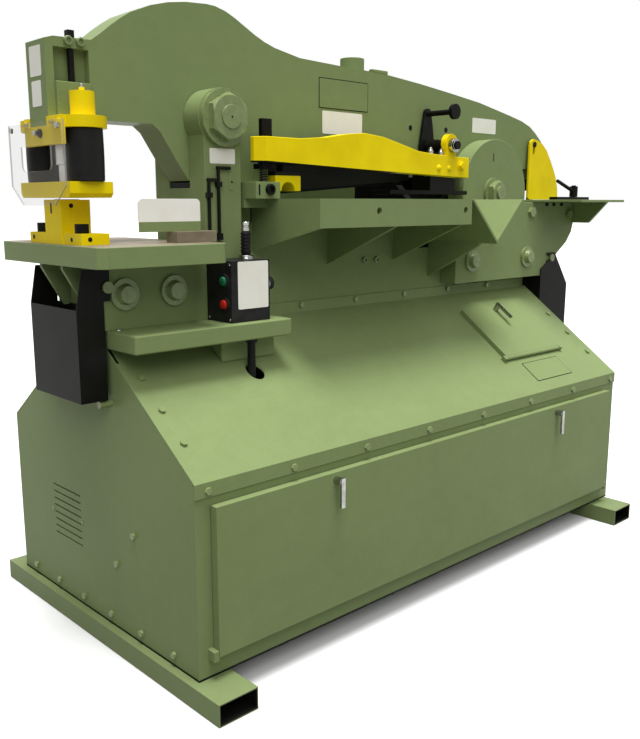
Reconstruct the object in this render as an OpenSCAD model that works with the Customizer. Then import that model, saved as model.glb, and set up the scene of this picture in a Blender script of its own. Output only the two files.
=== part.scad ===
// Hydraulic ironworker: a swinging beam over a fixed frame punches at the left end,
// shears flat and angle bar in the middle and notches at the right end.
// Millimetres, +Z up, +X to the notcher end, -Y to the operator.
// Places are measured from the left cabinet end, the middle plane and the ground.

/* [Skids and cabinet] */
// Length of a skid tube, front to back
skid_l = 985; // [800:5:1200]
// Width of a skid tube
skid_w = 102; // [80:1:140]
// Height of a skid tube
skid_h = 51; // [40:1:70]
// Length of the cabinet
cab_l = 1700; // [1500:10:1900]
// Width of the cabinet, front to back
cab_w = 820; // [700:10:900]
// Height of the cabinet's upright sides
cab_side_h = 437; // [380:1:500]
// Rise of the sloping covers above the sides
slope_rise = 265; // [220:1:300]
// Thickness of the cabinet sheet
sheet_t = 5; // [3:0.5:8]
// Thickness of the sloping covers
cover_t = 4; // [2:0.5:6]

/* [Access door] */
// Gap from the left cabinet end to the door
door_x = 38; // [30:1:60]
// Length of the door
door_l = 1602; // [1400:2:1640]
// Height of the door
door_h = 331; // [280:1:350]
// Height of the door's lower edge above the cabinet floor
door_up = 53; // [40:1:70]
// Depth of the door pan
door_t = 20; // [16:1:24]

/* [Slope hatch] */
// Distance of the hatch from the left cabinet end
hatch_x = 1232; // [1100:5:1300]
// Length of the hatch
hatch_l = 292; // [240:2:340]
// Width of the hatch along the slope
hatch_w = 213; // [160:1:240]
// Thickness of the hatch
hatch_t = 14; // [10:1:18]

/* [Frame] */
// Thickness of the main plate
plate_t = 88; // [84:1:96]
// Thickness of a side strap
strap_t = 60; // [50:1:70]
// Gap between the cabinet ridge and the left straps
strap_lift = 13; // [8:1:20]
// Height of the left strap's foot
foot_h = 144; // [130:1:160]
// Height of the pivot above the punch table top
pivot_up = 284; // [270:1:310]
// Distance of the pivot from the left cabinet end
pivot_x = 322; // [310:1:340]
// Radius of the pivot pin
pivot_r = 48; // [40:1:52]
// Left edge of the right straps
right_x = 1224; // [1215:1:1240]
// Right end of the right straps
right_end = 1911; // [1895:1:1925]
// Radius of the round top of the right straps
hump_r = 170; // [160:1:178]
// Middle of that round top
hump_x = 1421; // [1410:1:1445]

/* [Beam] */
// Length of the beam
beam_l = 1964; // [1955:1:1972]
// Thickness of the beam
beam_t = 85; // [80:1:86]
// Height of the beam from its knee to its crown
beam_h = 406; // [395:1:420]
// Angle the beam swings through, from open shear to closed shear
swing = 4; // [3:0.5:4]

/* [Punch station] */
// Thickness of the punch table
table_t = 44; // [38:1:50]
// Width of the punch table, front to back
table_w = 466; // [420:2:500]
// How far the table stands out past the left cabinet end
table_out = 85; // [75:1:95]
// Length of the punch table
table_l = 324; // [300:1:340]
// Width of the chamfer on each upright corner of the punch table
table_cham = 15; // [8:1:22]
// Distance of the punch axis outside the left cabinet end
punch_out = 30; // [26:1:34]
// Distance of each stripper rod from the middle plane
rod_off = 92; // [88:1:100]
// Outer radius of a urethane spring
ureth_r = 39; // [36:0.5:44]
// Height of the punch station's free daylight under the head
throat_h = 265; // [258:1:272]

/* [Shear, angle and notch stations] */
// Height of the work tables above the punch table
work_up = 98; // [90:1:106]
// Left end of the shear table
shear_x = 453; // [448:1:470]
// Depth of the shear table in front of the frame
shear_d = 256; // [220:1:280]
// Middle of the V-trough
vee_x = 1165; // [1160:1:1170]
// Half width of the V-trough
vee_half = 117; // [105:1:118]
// Length of the hold-down bar
bar_l = 815; // [780:1:820]
// Height of the hold-down bar
bar_h = 108; // [96:1:112]
// Length of the notcher table
notch_l = 285; // [275:1:300]
// Depth of the notcher table each side of the middle plane
notch_d = 290; // [250:1:300]

/* [Buckets] */
// Length of the left slug bucket
slug_l = 66; // [56:1:66]
// Length of the right scrap bucket
scrap_l = 176; // [150:1:190]

/* [Hidden] */
$fn = 48;
// Overrun of every cut
over = 5;
// Running clearance of a shaft in a hole
run_c = 0.05;
// Seat clearance between fitted pieces of one body
seat_c = 0.2;
// Clearance between pieces that move past each other
move_c = 0.5;

green = [0.40, 0.50, 0.33];
black = [0.07, 0.07, 0.07];
yellow = [0.90, 0.76, 0.10];
steel = [0.62, 0.61, 0.58];
clear = [0.85, 0.90, 0.92, 0.35];
grey = [0.45, 0.46, 0.47];
red = [0.75, 0.08, 0.06];
lime = [0.05, 0.50, 0.22];
white = [0.88, 0.88, 0.85];

// Heights
floor_z = skid_h;
panel_z = floor_z + sheet_t;
shoulder_z = skid_h + cab_side_h;
ridge_z = shoulder_z + slope_rise;
foot_z = ridge_z + strap_lift;
foot_top = foot_z + foot_h;
table_z = foot_top + table_t;
pivot_z = table_z + pivot_up;
work_z = table_z + work_up;
head_z = table_z + throat_h;

// Depths
half_w = cab_w / 2;
half_p = plate_t / 2;
half_b = beam_t / 2;
strap_y = half_p + strap_t;
run = half_w - half_p;
slope_a = atan2(slope_rise, run);
slope_len = run / cos(slope_a);

// Overall box, used to place the origin
skid_front = 95;
skid_out = 20;
skid_in = 9;
skid_wall = 5;
guard_gap = 70;
guard_screw_h = 7;
guard_x = -punch_out - guard_gap;
beam_x = -83;
notch_x = 1640;
left_end = guard_x - guard_screw_h;
far_end = notch_x + notch_l;
mid_x = (left_end + far_end) / 2;
front_y = -half_w - skid_front;
mid_y = front_y + skid_l / 2;

// Bolt sizes
bolt_r = 8.5;
bolt_h = 6;
bolt_share = 0.6;
big_r = 35;
big_t = 8;
big_head_r = 24;
big_head_top = 19;
big_head_h = 14;
big_shaft_r = 14;
hex_turn = 30;
nut_flat_share = 0.76;
nut_face_share = 0.87;

// Cabinet fittings
frame_lap = 22;
frame_lap_top = 5;
louvre_n = 8;
louvre_y = 76;
louvre_w = 139;
louvre_z = 156;
louvre_pitch = 18.4;
louvre_h = 3.5;
flange_h = 34;
ridge_flange = 26;
edge_gap = 32;
end_bolts = 6;
end_bolt_span = 658;
end_bolt_mid = 10;
end_bolt_up = 22;
wall_bolt_y1 = 170;
wall_bolt_up1 = 256;
wall_bolt_y2 = 91;
wall_bolt_up2 = 165;
front_bolts = 8;
ridge_bolts = 5;
ridge_bolt_in = 180;
ridge_bolt_pitch = 212;
side_bolts = 3;
side_bolt_low = 103;
side_bolt_pitch = 97;
side_bolt_in = 35;
rest_peg_r = 9;
rest_peg_l = 30;
rest_peg_y = 97;
door_gap = 3;
pan_t = 4;
hinge_r = 4;
hinge_l = 20;
hinge_up = 5;
ear_t = 13;
door_ear_h = 8;
end_block = 24;
latch_shares = [0.212, 0.797];
latch_drop = 18;
latch_boss_r = 9;
latch_boss_t = 22;
latch_stem_r = 5;
latch_arm = 62;
latch_w = 12;
latch_t = 6;
cam_h = 11;
hatch_up = 146;
hatch_lap = 15;
hatch_edge = 22;
hatch_margin = 40;
hatch_hinge_in = 6;
hatch_share = 0.53;
body_l = max(cab_l, door_x + door_l + door_x, hatch_x + hatch_l + hatch_margin);

// Main plate
leg_l = 255;
window_x = 1240;
window_top = 464;
plate_lap = 50;
plate_gap = 10;
die_x = notch_x + plate_lap;
plate_end = min(body_l - plate_gap, die_x);
plate_out = 10;
column_x = 267;
column_end = 374;
column_gap = 17;
step_x = 424;
blade_drop = 16;
drop_guard_y = 150;
drop_guard_t = 5;
drop_guard_low = 72;
drop_guard_up = 58;
drop_arm_t = 10;
blade_z = work_z - blade_drop;
vee_ledge = 147;
ledge_z = work_z - vee_ledge;
cyl_x = 1370;
cyl_slot = 80;
cyl_z = 300;
rod_slot = 44;
notch_t = 8;
right_top = work_z - notch_t;
right_lift = 37;
right_z = ridge_z + right_lift;
strap_head_r = 68;
hump_up = 20;
hump_z = work_z + hump_up;
cut_low = 40;
hump_left = hump_x - hump_r;
nose_shares = [[0.735, 0], [0.79, 0.14], [0.865, 0.31], [0.94, 0.44], [0.984, 0.58], [1, 0.71], [1, 1]];

// Places of the large strap bolts
left_bolt_x1 = 41;
left_bolt_x2 = 170;
left_bolt_xs = [left_bolt_x1, left_bolt_x2];
left_bolt_up = 78;
right_bolt_x1 = 1305;
right_bolt_x2 = 1615;
right_bolt_xs = [right_bolt_x1, right_bolt_x2];
right_bolt_up = 70;
guide_x = 1405;
guide_up = 22;
guide_r = 48;
guide_t = 8;
guide_nut_r = 38;
guide_nut_t = 22;
guide_stud_r = 21;
guide_stud_l = 8;
strap_bolt_r = 18;
strap_bolt_h = 12;
strap_bolt_x1 = 1632;
strap_bolt_down1 = 41;
strap_bolt_x2 = 1872;
strap_bolt_down2 = 52;

// Beam outline as shares of its length and height
knee_up = 140;
knee_z = table_z + knee_up;
nose_share = 0.074;
lip_share = 0.262;
lip_end_share = 0.0018;
beam_shares = [[0, lip_share], [0, 0.692], [0.0102, 0.707], [0.0545, 0.712], [0.0662, 0.751],
    [0.0789, 0.80], [0.092, 0.845],
    [0.105, 0.884], [0.1314, 0.938], [0.155, 0.97], [0.18, 0.99], [0.21, 1], [0.2225, 0.9975],
    [0.238, 0.98], [0.2525, 0.951], [0.2841, 0.874], [0.30, 0.842], [0.3167, 0.818], [0.36, 0.781],
    [0.4343, 0.77], [0.49, 0.765], [0.5372, 0.756], [0.6054, 0.729], [0.6787, 0.693], [0.7576, 0.65],
    [0.8442, 0.579],
    [0.88, 0.546], [0.9063, 0.507], [0.924, 0.459], [0.9399, 0.406], [0.9761, 0.244], [1, nose_share],
    [0.9155, nose_share], [0.9155, 0.163], [0.2694, -0.047], [0.2694, 0], [0.1777, 0], [0.165, 0.081],
    [0.1517, 0.175], [0.1385, 0.271], [0.1283, 0.308],
    [lip_end_share, 0.308], [lip_end_share, lip_share]];
bush_r = 58;
slot_in = 6.5;
slot_x = -punch_out + slot_in;
slot_half = 40.5;
slot_depth = 20;
slot_h = 142;
keeper_h = 22;
screw_in = 10;
screw_x = -punch_out + screw_in;
screw_r = 7;
screw_head_half = 7.5;
screw_head_h = 15;
cap_screw_r = 7;
cap_screw_h = 8;
cap_screw_in = 13;
cap_screw_off = 15;
ram_h = 73;
ram_proud = 8;
beam_top_h = 164;
pin_down = 73;
pin_z = pivot_z - pin_down;
pin_r = 20;
eye_half = 48;
eye_h = 42;
eye_t = 36;
eye_slot = 10;
eye_play = 1;
pocket_left = 52;
pocket_right = 62;
pocket_up = 50;
pocket_t = 40;
boss_x = 860;
boss_r = 34;
boss_top = 195;
boss_low = 150;
lug_x = 898;
lug_l = 66;
lug_t = 14;
lug_low = 280;
lug_h = 38;

// Blades, set in the closed position of the beam
blade_t = 23.7;
shear_plane = 20;
upper_blade_t = 25;
blade_h = 60;
lower_x = 450;
lower_end = 1028;
upper_x = 460;
upper_end = 1012;
shear_bite = 3;
vee_t = 8;
vee_out = vee_half + vee_t * sqrt(2);
vee_tip = work_z - vee_half;
vee_bite = 10;
vee_move_half = 119;
vee_root = 61;
vee_blade_x = 1036;
vee_blade_end = 1294;
blade_bar_x = 480;
blade_bar_end = 1056;
blade_bar_t = 6.5;
blade_bar_low1 = 14;
blade_bar_low2 = 55;
blade_bar_top = 113;
notch_punch_in = 75;
notch_punch_x = notch_x + notch_punch_in;
notch_punch_l = 160;
notch_punch_end = notch_punch_x + notch_punch_l;
notch_punch_h = 39;
notch_punch_t = 80;
notch_bottom = knee_z + nose_share * beam_h;
notch_die_t = 8;
notch_die_h = 62;

// Punch station
top_t = 24;
top_r = 48;
cap_r = 25.5;
cap_h = 50;
cap_bore = 14;
cap_wall = 8;
nipple_r = 6;
nipple_h = 8;
ureth_h = 109;
strip_h = 33;
strip_half = 50;
strip_w = 230;
strip_cham = 9;
strip_hole = 20;
strip_rod_r = 12;
rod_head = 8;
punch_r = 13;
punch_body_r = 18;
punch_tip = 5;
punch_neck = 70;
bracket_y0 = 105;
bracket_y1 = 61;
bracket_drop = 34;
bracket_t = 10;
pane_t = 4;
pane_y0 = 140;
pane_y1 = 113;
pane_low = 15;
pane_cham_w = 52;
pane_cham_h = 40;
hinge_drop = 13;
hinge_back = 7;
knuckle_r = 4;
guard_ear = 3.3;
knuckle_l = 22;
guard_pin_r = 2;
guard_screw_r = 6;
guard_screw_in = 20;
guard_screw_low = 10;
window_y0 = 80;
window_y1 = 56;
window_low = 56;
window_h = 52;
window_r = 14;
pane_over = 1;
post_half = 35;
post_w = 76;
base_half = 33;
base_w = 240;
base_t = 24;
post_gap = 3;
die_r = 27;
die_bore = 13.6;
die_h = 28;
slug_r = 18;
die_bolt_off = 88;
die_bolt_back = 14;
die_bolt_x = -punch_out - die_bolt_back;
die_bolt_r = 15;
die_bolt_h = 20;
die_bolt_shaft = 9;
die_bolt_in = 26;
socket_r = 8;
socket_d = 10;
stop_x = 150;
stop_l = 109;
stop_y = 158;
stop_w = 44;
stop_h = 25;
sign_x = 66;
sign_l = 162;
sign_h = 72;
sign_t = 3;
sign_r = 10;
sign_in = 20;

// Shelf and controls
shelf_l = 439;
shelf_out = 5;
shelf_y = 220;
shelf_t = 41;
wedge_x = 262;
wedge_l = 163;
wedge_y0 = 163;
wedge_y1 = 110;
slope_gap = 2;
box_x = 266;
box_l = 115;
box_y = 200;
box_h = 144;
box_wall = 4;
button_y = 175;
start_up = 97;
stop_up = 43;
gland_x = 31;
gland_y = 165;
gland_up = 84;
side_gland_r = 16;
side_nut_r = 20;
side_nut_t = 8;
bezel_r = 17;
bezel_in = 13.5;
bezel_t = 5;
button_r = 12;
button_t = 5;
button_out = 11;
stem_r = 6;
stem_l = 22;
stick_x = 346;
stick_y = 155;
nut_r = 16;
nut_in = 12;
nut_h = 9;
stick_r = 5;
stick_ball = 7;
stick_boot_r = 12.5;
stick_boot = 50;
stick_h = 70;
tip_r = 11;
tip_h = 22;
conduit_x = 326;
conduit_y = 195;
conduit_r = 10;
conduit_root = 8;
conduit_bore = 6;
conduit_ribs = 20;
conduit_drop = 95;
conduit_nut_r = 15;
conduit_nut_h = 10;
conduit_hole = 23;
conduit_hole_in = 10;
short_key_x = 275;
short_key_up = 25;
short_key_l = 116;
long_key_x = 303;
long_key_up = 1;
long_key_l = 168;
key_r = 4;
short_leg = 20;
long_leg = 35;
clip_half = 7;
clip_t = 11;
short_clip_up = 100;
long_clip_up = 125;
clip_h = 12;
key_foot_h = 16;

// Shear table, trough and hold-down
shear_t = 12;
apron_h = 69;
apron_t = 9;
apron_hole_r = 9;
apron_hole_shares = [0.35, 0.953];
apron_hole_up = 30;
rib_t = 12;
rib_x1 = 728;
rib_x2 = 1000;
rib_xs = [rib_x1, rib_x2];
rib_low = 178;
side_low = 132;
side_t = 9;
vee_rib_low = 120;
vee_rib_in = 60;
bar_x = 400;
bar_y = 150;
bar_t = 40;
bar_up = 64;
bar_shares = [[0, 0.213], [1, 0], [1, 0.546], [0.81, 0.593], [0.712, 0.648], [0.62, 0.80], [0.53, 0.94],
    [0.438, 1], [0.36, 0.95], [0.27, 0.84], [0.16, 0.769], [0, 0.769]];
bar_left_share = 0.213;
foot_x = 1058;
foot_l = 116;
foot_y = 60;
foot_low = 23;
foot_high = 92;
bar_foot_x = 462;
bar_foot_l = 84;
bar_foot_y = 72;
bar_foot_low = 19;
bar_foot_high = 66;
bar_notch_r = 22;
bar_cham_l = 19;
bar_cham_w = 27;
neck_x = 490;
neck_l = 30;
neck_y = 100;
neck_t = 25;
shoe_x = 885;
shoe_l = 352;
shoe_low = 14;
shoe_t = 12;
shoe_y0 = 130;
shoe_y1 = 60;
bar_travel = 12;
ring_r = 28;
ring_t = 20;
web_half = 19;
web_low = 54;
bracket_x = 384;
bracket_l = 76;
bracket_h = 40;
flange_low = 22;
stud_x = 424;
stud_y = 130;
stud_r = 5;
stud_l = 58;
bore_r = 7;
bore_d = 50;
post_x = 432;
post_s = 26;
post_y = 107;
post_h = 153;
post_low_h = 45;
post_up = 33;
post_top_x = 440;
post_top_l = 32;
post_top_t = 13;
coil_r = 8.4;
wire_r = 1.6;
coil_turns = 6;
coil_rings = 8;
coil_sides = 6;
coil_gap = 0.6;
crank_x = 1130;
crank_up = 156;
crank_bore = 7;
crank_arm = 96;
crank_y = 57;
crank_t = 8;
crank_hub = 34;
crank_top = 16;
washer_r = 20;
washer_t = 14;
nose_r = 12;
nose_l = 10;
hub_r = 18;
handle_r = 8;
handle_end = 150;
knob_r = 22;
knob_t = 12;
arm_x = 1112;
arm_end = 1310;
arm_y0 = 98;
arm_y1 = 60;
arm_low = 100;
arm_high = 126;
eye_r = 20;

// Notcher
notch_lap = 2;
notch_rib_t = 12;
notch_rib_in = 259;
notch_rib_x = notch_x + notch_rib_in;
notch_rib_top = 135;
notch_rib_foot = 66;
notch_rib_h = 73;
fence_in = 53;
fence_x = notch_x + fence_in;
fence_l = 212;
fence_y = 165;
fence_w = 30;
fence_t = 10;
clamp_in = 184;
clamp_x = notch_x + clamp_in;
clamp_stud = 8;
clamp_stud_h = 40;
clamp_hub = 14;
clamp_h = 36;
clamp_arm = 112;
clamp_arm_r = 6;
clamp_tilt = 18;
guard_y = 62;
guard_t = 7.6;
guard_in = 34;
guard_left = notch_x + guard_in;
guard_w = 192;
guard_up = 1;
guard_h = 205;
guard_shares = [[0.05, 0], [1, 0], [0.975, 0.18], [0.90, 0.38], [0.80, 0.53], [0.70, 0.66], [0.55, 0.83],
    [0.40, 0.93], [0.25, 0.98], [0.10, 1], [0.02, 0.96], [0, 0.90], [0, 0.04]];
guard_travel = 30;
guard_bolt_in = 58;
guard_bolt_x = notch_x + guard_bolt_in;
guard_bolt_up = 188;
guard_bolt_r = 5;
guard_head_r = 9;
guard_head_t = 4;
gpost_in = 46;
gpost_x = notch_x + gpost_in;
gpost_l = 28;
gpost_t = 8;
gpost_y = 54;
gpost_h = 197;

// Buckets
bucket_wall = 3;
bucket_gap = 2;
slug_z = 612;
slug_wall_h = 205;
slug_side_h = 290;
slug_ear = 16;
slug_ear_low = 60;
slug_peg_x = -2;
slug_peg_up = 96;
peg_r = 8;
peg_head_r = 13;
peg_head_t = 5;
peg_c = 0.6;
scrap_gap = 4;
scrap_x = body_l + scrap_gap;
scrap_z = 600;
scrap_wall_h = 152;
scrap_top = 268;
scrap_in_h = 190;
scrap_peg_in = 64;
scrap_peg_x = scrap_x + scrap_peg_in;
scrap_peg_up = 60;
scrap_shares = [[0, 0], [0.99, 0], [1, 0.567], [0.49, 1], [0.216, 1], [0.216, 0.87], [0, 0.79]];

// Power pack and cylinder
barrel_r = 70;
barrel_bore = 55;
barrel_base = 45;
barrel_l = 390;
gland_r = 62;
gland_h = 30;
rod_r = 30;
piston_h = 40;
piston_up = 300;
port_r = 14;
port_l = 16;
port_low = 70;
port_high = 250;
port_ups = [port_low, port_high];
line_r = 8;
motor_x = 420;
motor_l = 300;
motor_r = 88;
motor_y = 230;
motor_up = 190;
motor_foot = 120;
motor_foot_t = 160;
pump_r = 52;
pump_l = 120;
tank_x = 900;
tank_l = 300;
tank_y0 = 380;
tank_y1 = 100;
tank_h = 290;
tank_wall = 4;
valve_x = 980;
valve_l = 110;
valve_y = 270;
valve_w = 90;
valve_h = 70;
line_up = 30;
line_y = 220;

// Shared shapes
module place() translate([-mid_x, -mid_y, 0]) children();
module box(x0, x1, y0, y1, z0, z1) translate([x0, y0, z0]) cube([x1 - x0, y1 - y0, z1 - z0]);
module bar_x(x0, x1, y, z, r) translate([x0, y, z]) rotate([0, 90, 0]) cylinder(h = x1 - x0, r = r);
module bar_y(x, y0, y1, z, r) translate([x, y0, z]) rotate([-90, 0, 0]) cylinder(h = y1 - y0, r = r);
module bar_z(x, y, z0, z1, r) translate([x, y, z0]) cylinder(h = z1 - z0, r = r);
module hex_y(x, y0, y1, z, r) translate([x, y0, z]) rotate([-90, 0, 0]) cylinder(h = y1 - y0, r = r,
    $fn = 6);
module nut_y(x, y, t, z, r) translate([x, y, z]) rotate([90, 0, 0]) intersection() {
    rotate([0, 0, hex_turn]) cylinder(h = t, r = r, $fn = 6);
    rotate_extrude() polygon([[0, 0], [r, 0], [r, t * nut_flat_share], [r * nut_face_share, t], [0, t]]);
}
module sheet_xz(pts, y0, y1) translate([0, y1, 0]) rotate([90, 0, 0]) linear_extrude(y1 - y0) polygon(pts);
module sheet_yz(pts, x0, x1) translate([x0, 0, 0]) rotate([90, 0, 90]) linear_extrude(x1 - x0) polygon(pts);
module both() {
    children();
    mirror([0, 1, 0]) children();
}
module on_slope() translate([0, -half_w, shoulder_z]) rotate([slope_a, 0, 0]) children();
module swung() translate([pivot_x, 0, pivot_z]) rotate([0, -swing, 0]) translate([-pivot_x, 0,
    -pivot_z]) children();
function slope_z(y) = shoulder_z + (half_w - abs(y)) * tan(slope_a);
function cut_corners(x0, x1, h, c) = [[x0 + c, -h], [x1 - c, -h], [x1, -h + c], [x1, h - c], [x1 - c, h],
    [x0 + c, h], [x0, h - c], [x0, -h + c]];
function shaped(t, x, l, z, h) = [for (p = t) [x + p[0] * l, z + p[1] * h]];

// Base: two skid tubes welded under the cabinet floor
module skid(x) difference() {
    box(x, x + skid_w, front_y, front_y + skid_l, 0, skid_h);
    box(x + skid_wall, x + skid_w - skid_wall, front_y - over, front_y + skid_l + over, skid_wall,
        skid_h - skid_wall);
}
module base_frame() place() color(green) {
    skid(-skid_out);
    skid(body_l - skid_in - skid_w);
    box(0, body_l, -half_w, half_w, floor_z, panel_z);
}

// Space kept free for the shelf in the cabinet skin
module shelf_space() box(-shelf_out - over, shelf_l - shelf_out + seat_c, -strap_y - seat_c, -half_p + over,
    foot_z - shelf_t - seat_c, ridge_z + over);

// House-shaped cabinet ends, the left one with louvres
module end_sheet(x) {
    in_w = half_w - sheet_t;
    drop = cover_t / cos(slope_a);
    sheet_yz([[-in_w, panel_z], [in_w, panel_z], [in_w, slope_z(in_w) - drop], [half_p, ridge_z - drop],
        [-half_p, ridge_z - drop], [-in_w, slope_z(in_w) - drop]], x, x + sheet_t);
}
module end_panels() place() color(green) difference() {
    union() {
        end_sheet(0);
        end_sheet(body_l - sheet_t);
    }
    shelf_space();
    for (i = [0 : louvre_n - 1])
        box(-over, sheet_t + over, louvre_y, louvre_y + louvre_w, floor_z + louvre_z + i * louvre_pitch,
            floor_z + louvre_z + i * louvre_pitch + louvre_h);
}

// Front panel with the door opening and the door's hinge pins
door_z = floor_z + door_up;
door_y = -half_w - door_gap;
door_axis_y = door_y - door_t / 2;
door_axis_z = door_z + hinge_up + hinge_r / 2;
open_top = door_z + door_h - frame_lap_top;
panel_top = shoulder_z - cover_t / cos(slope_a);
module door_ear(x, pin0) {
    box(x, x + ear_t, door_y - door_t, -half_w + over / 2, door_z - door_ear_h, door_axis_z + door_ear_h);
    bar_x(pin0, pin0 + hinge_l, door_axis_y, door_axis_z, hinge_r);
}
module front_panel() place() color(green) {
    difference() {
        box(0, body_l, -half_w, -half_w + sheet_t, panel_z, panel_top);
        box(door_x + frame_lap, door_x + door_l - frame_lap, -half_w - over, -half_w + over + sheet_t,
            door_z + frame_lap, open_top);
    }
    door_ear(door_x - move_c * 2 - ear_t, door_x - move_c * 2);
    door_ear(door_x + door_l + move_c * 2, door_x + door_l + move_c * 2 - hinge_l);
}

// Rear panel and rear slope cover
module rear_covers() place() color(green) {
    box(0, body_l, half_w - sheet_t, half_w, panel_z, shoulder_z - cover_t / 2);
    mirror([0, 1, 0]) slope_sheet(body_l);
}
module slope_sheet(l) on_slope()
    box(0, l, 0, slope_len - cover_t * tan(slope_a), -cover_t, 0);

// Front slope cover with its flanges, hatch opening, conduit hole and hatch hinge pins
hatch_axis_y = hatch_up - hatch_hinge_in;
hatch_axis_z = hatch_t / 2;
module hatch_ear(x, pin0) on_slope() {
    box(x, x + ear_t, hatch_axis_y - hatch_axis_z, hatch_axis_y + hatch_axis_z, -cover_t / 2, hatch_t);
    bar_x(pin0, pin0 + hinge_l, hatch_axis_y, hatch_axis_z, hinge_r);
}
module front_slope_cover() place() color(green) {
    difference() {
        union() {
            slope_sheet(body_l);
            on_slope() box(0, body_l, -cover_t, over, -cover_t, 0);
            box(0, body_l, -half_w - cover_t, -half_w, shoulder_z - flange_h, shoulder_z - cover_t / 2);
            box(shelf_l, body_l - edge_gap, -half_p - cover_t, -half_p, ridge_z - cover_t * 2,
                ridge_z + ridge_flange);
        }
        shelf_space();
        on_slope() box(hatch_x + hatch_lap, hatch_x + hatch_l - hatch_lap, hatch_up + hatch_lap,
            hatch_up + hatch_w - hatch_lap, -over - cover_t, over);
        bar_z(conduit_x + conduit_hole_in, -conduit_y, shoulder_z, ridge_z, conduit_hole);
    }
    hatch_ear(hatch_x - move_c * 2 - ear_t, hatch_x - move_c * 2);
    hatch_ear(hatch_x + hatch_l + move_c * 2, hatch_x + hatch_l + move_c * 2 - hinge_l);
}

// Bolts of the cabinet and frame, washers under the large ones, bucket pegs
module big_bolt(x, z) both() {
    bar_y(x, -strap_y - big_t, -strap_y, z, big_r);
    translate([x, -strap_y - big_t, z]) rotate([90, 0, 0]) cylinder(h = big_head_h, r1 = big_head_r,
        r2 = big_head_top);
    bar_y(x, -strap_y, 0, z, big_shaft_r);
}
module hex_x(x, y, z) translate([x, y, z]) rotate([0, 90, 0]) cylinder(h = bolt_h, r = bolt_r, $fn = 6);
module peg(x, z) both() {
    bar_y(x, -strap_y - bucket_gap - bucket_wall - move_c, -strap_y, z, peg_r);
    bar_y(x, -strap_y - bucket_gap - bucket_wall - move_c - peg_head_t,
        -strap_y - bucket_gap - bucket_wall - move_c, z, peg_head_r);
}
module frame_bolts() place() color(green) {
    for (i = [0 : front_bolts - 1])
        hex_y(edge_gap + i * (body_l - 2 * edge_gap) / (front_bolts - 1), -half_w - cover_t - bolt_h,
            -half_w - cover_t,
            shoulder_z - flange_h * bolt_share, bolt_r);
    for (i = [0 : ridge_bolts - 1])
        hex_y(shelf_l + ridge_bolt_in + i * ridge_bolt_pitch, -half_p - cover_t - bolt_h,
            -half_p - cover_t,
            ridge_z + ridge_flange * bolt_share, bolt_r);
    for (x = [-bolt_h, body_l]) {
        for (i = [0 : end_bolts - 1])
            hex_x(x, (i / (end_bolts - 1) - 0.5) * end_bolt_span + end_bolt_mid, panel_z + end_bolt_up);
        hex_x(x, -wall_bolt_y1, floor_z + wall_bolt_up1);
        hex_x(x, -wall_bolt_y2, floor_z + wall_bolt_up2);
    }
    for (x = [side_bolt_in, body_l - side_bolt_in], i = [0 : side_bolts - 1])
        on_slope() translate([x, side_bolt_low + i * side_bolt_pitch, 0]) cylinder(h = bolt_h, r = bolt_r,
            $fn = 6);
    for (s = [-1, 1])
        bar_x(-rest_peg_l, 0, s * rest_peg_y, slug_z - rest_peg_r - move_c * 2, rest_peg_r);
    for (x = left_bolt_xs) big_bolt(x, foot_z + left_bolt_up);
    for (x = right_bolt_xs) big_bolt(x, right_z + right_bolt_up);
    both() {
        bar_y(guide_x, -strap_y - guide_t, -strap_y, work_z + guide_up, guide_r);
        nut_y(guide_x, -strap_y - guide_t, guide_nut_t, work_z + guide_up, guide_nut_r);
        bar_y(guide_x, -strap_y - guide_t - guide_nut_t - guide_stud_l, -strap_y - guide_t,
            work_z + guide_up, guide_stud_r);
        hex_y(strap_bolt_x1, -strap_y - strap_bolt_h, -strap_y, work_z - strap_bolt_down1, strap_bolt_r);
        hex_y(strap_bolt_x2, -strap_y - strap_bolt_h, -strap_y, work_z - strap_bolt_down2, strap_bolt_r);
    }
    peg(slug_peg_x, foot_z + slug_peg_up);
    peg(scrap_peg_x, right_z + scrap_peg_up);
}
module big_holes() {
    for (x = left_bolt_xs) bar_y(x, -strap_y - over, strap_y + over, foot_z + left_bolt_up,
        big_shaft_r + run_c);
    for (x = right_bolt_xs) bar_y(x, -strap_y - over, strap_y + over, right_z + right_bolt_up,
        big_shaft_r + run_c);
}

// Main plate in the plane of the beam, with the cylinder window and the blade seat
module main_plate() place() color(green) {
    drop_guard();
    plate_body();
}
module drop_guard() {
    box(step_x, lower_end, drop_guard_y, drop_guard_y + drop_guard_t, work_z - drop_guard_low,
        work_z + drop_guard_up);
    for (x = [step_x, lower_end - drop_arm_t])
        box(x, x + drop_arm_t, half_p, drop_guard_y, work_z - drop_guard_low, blade_z);
}
module plate_body() difference() {
    sheet_xz([[sheet_t, panel_z], [sheet_t + leg_l, panel_z], [sheet_t + leg_l, panel_z + window_top],
        [window_x, panel_z + window_top], [window_x, panel_z], [plate_end, panel_z],
        [plate_end, work_z - shear_t], [cyl_x + rod_slot, work_z - shear_t], [cyl_x + rod_slot, ledge_z],
        [lower_end + seat_c, ledge_z], [lower_end + seat_c, blade_z], [step_x, blade_z],
        [step_x, knee_z - column_gap], [column_x, knee_z - column_gap], [column_x, foot_top],
        [-plate_out, foot_top], [-plate_out, foot_z], [sheet_t, foot_z]], -half_p, half_p);
    box(cyl_x - cyl_slot, cyl_x + cyl_slot, -half_p - over, half_p + over, cyl_z, ledge_z + over);
    box(lower_x - seat_c, lower_end + over, -half_p - over, -shear_plane, work_z - blade_h, work_z);
    big_holes();
}

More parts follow.
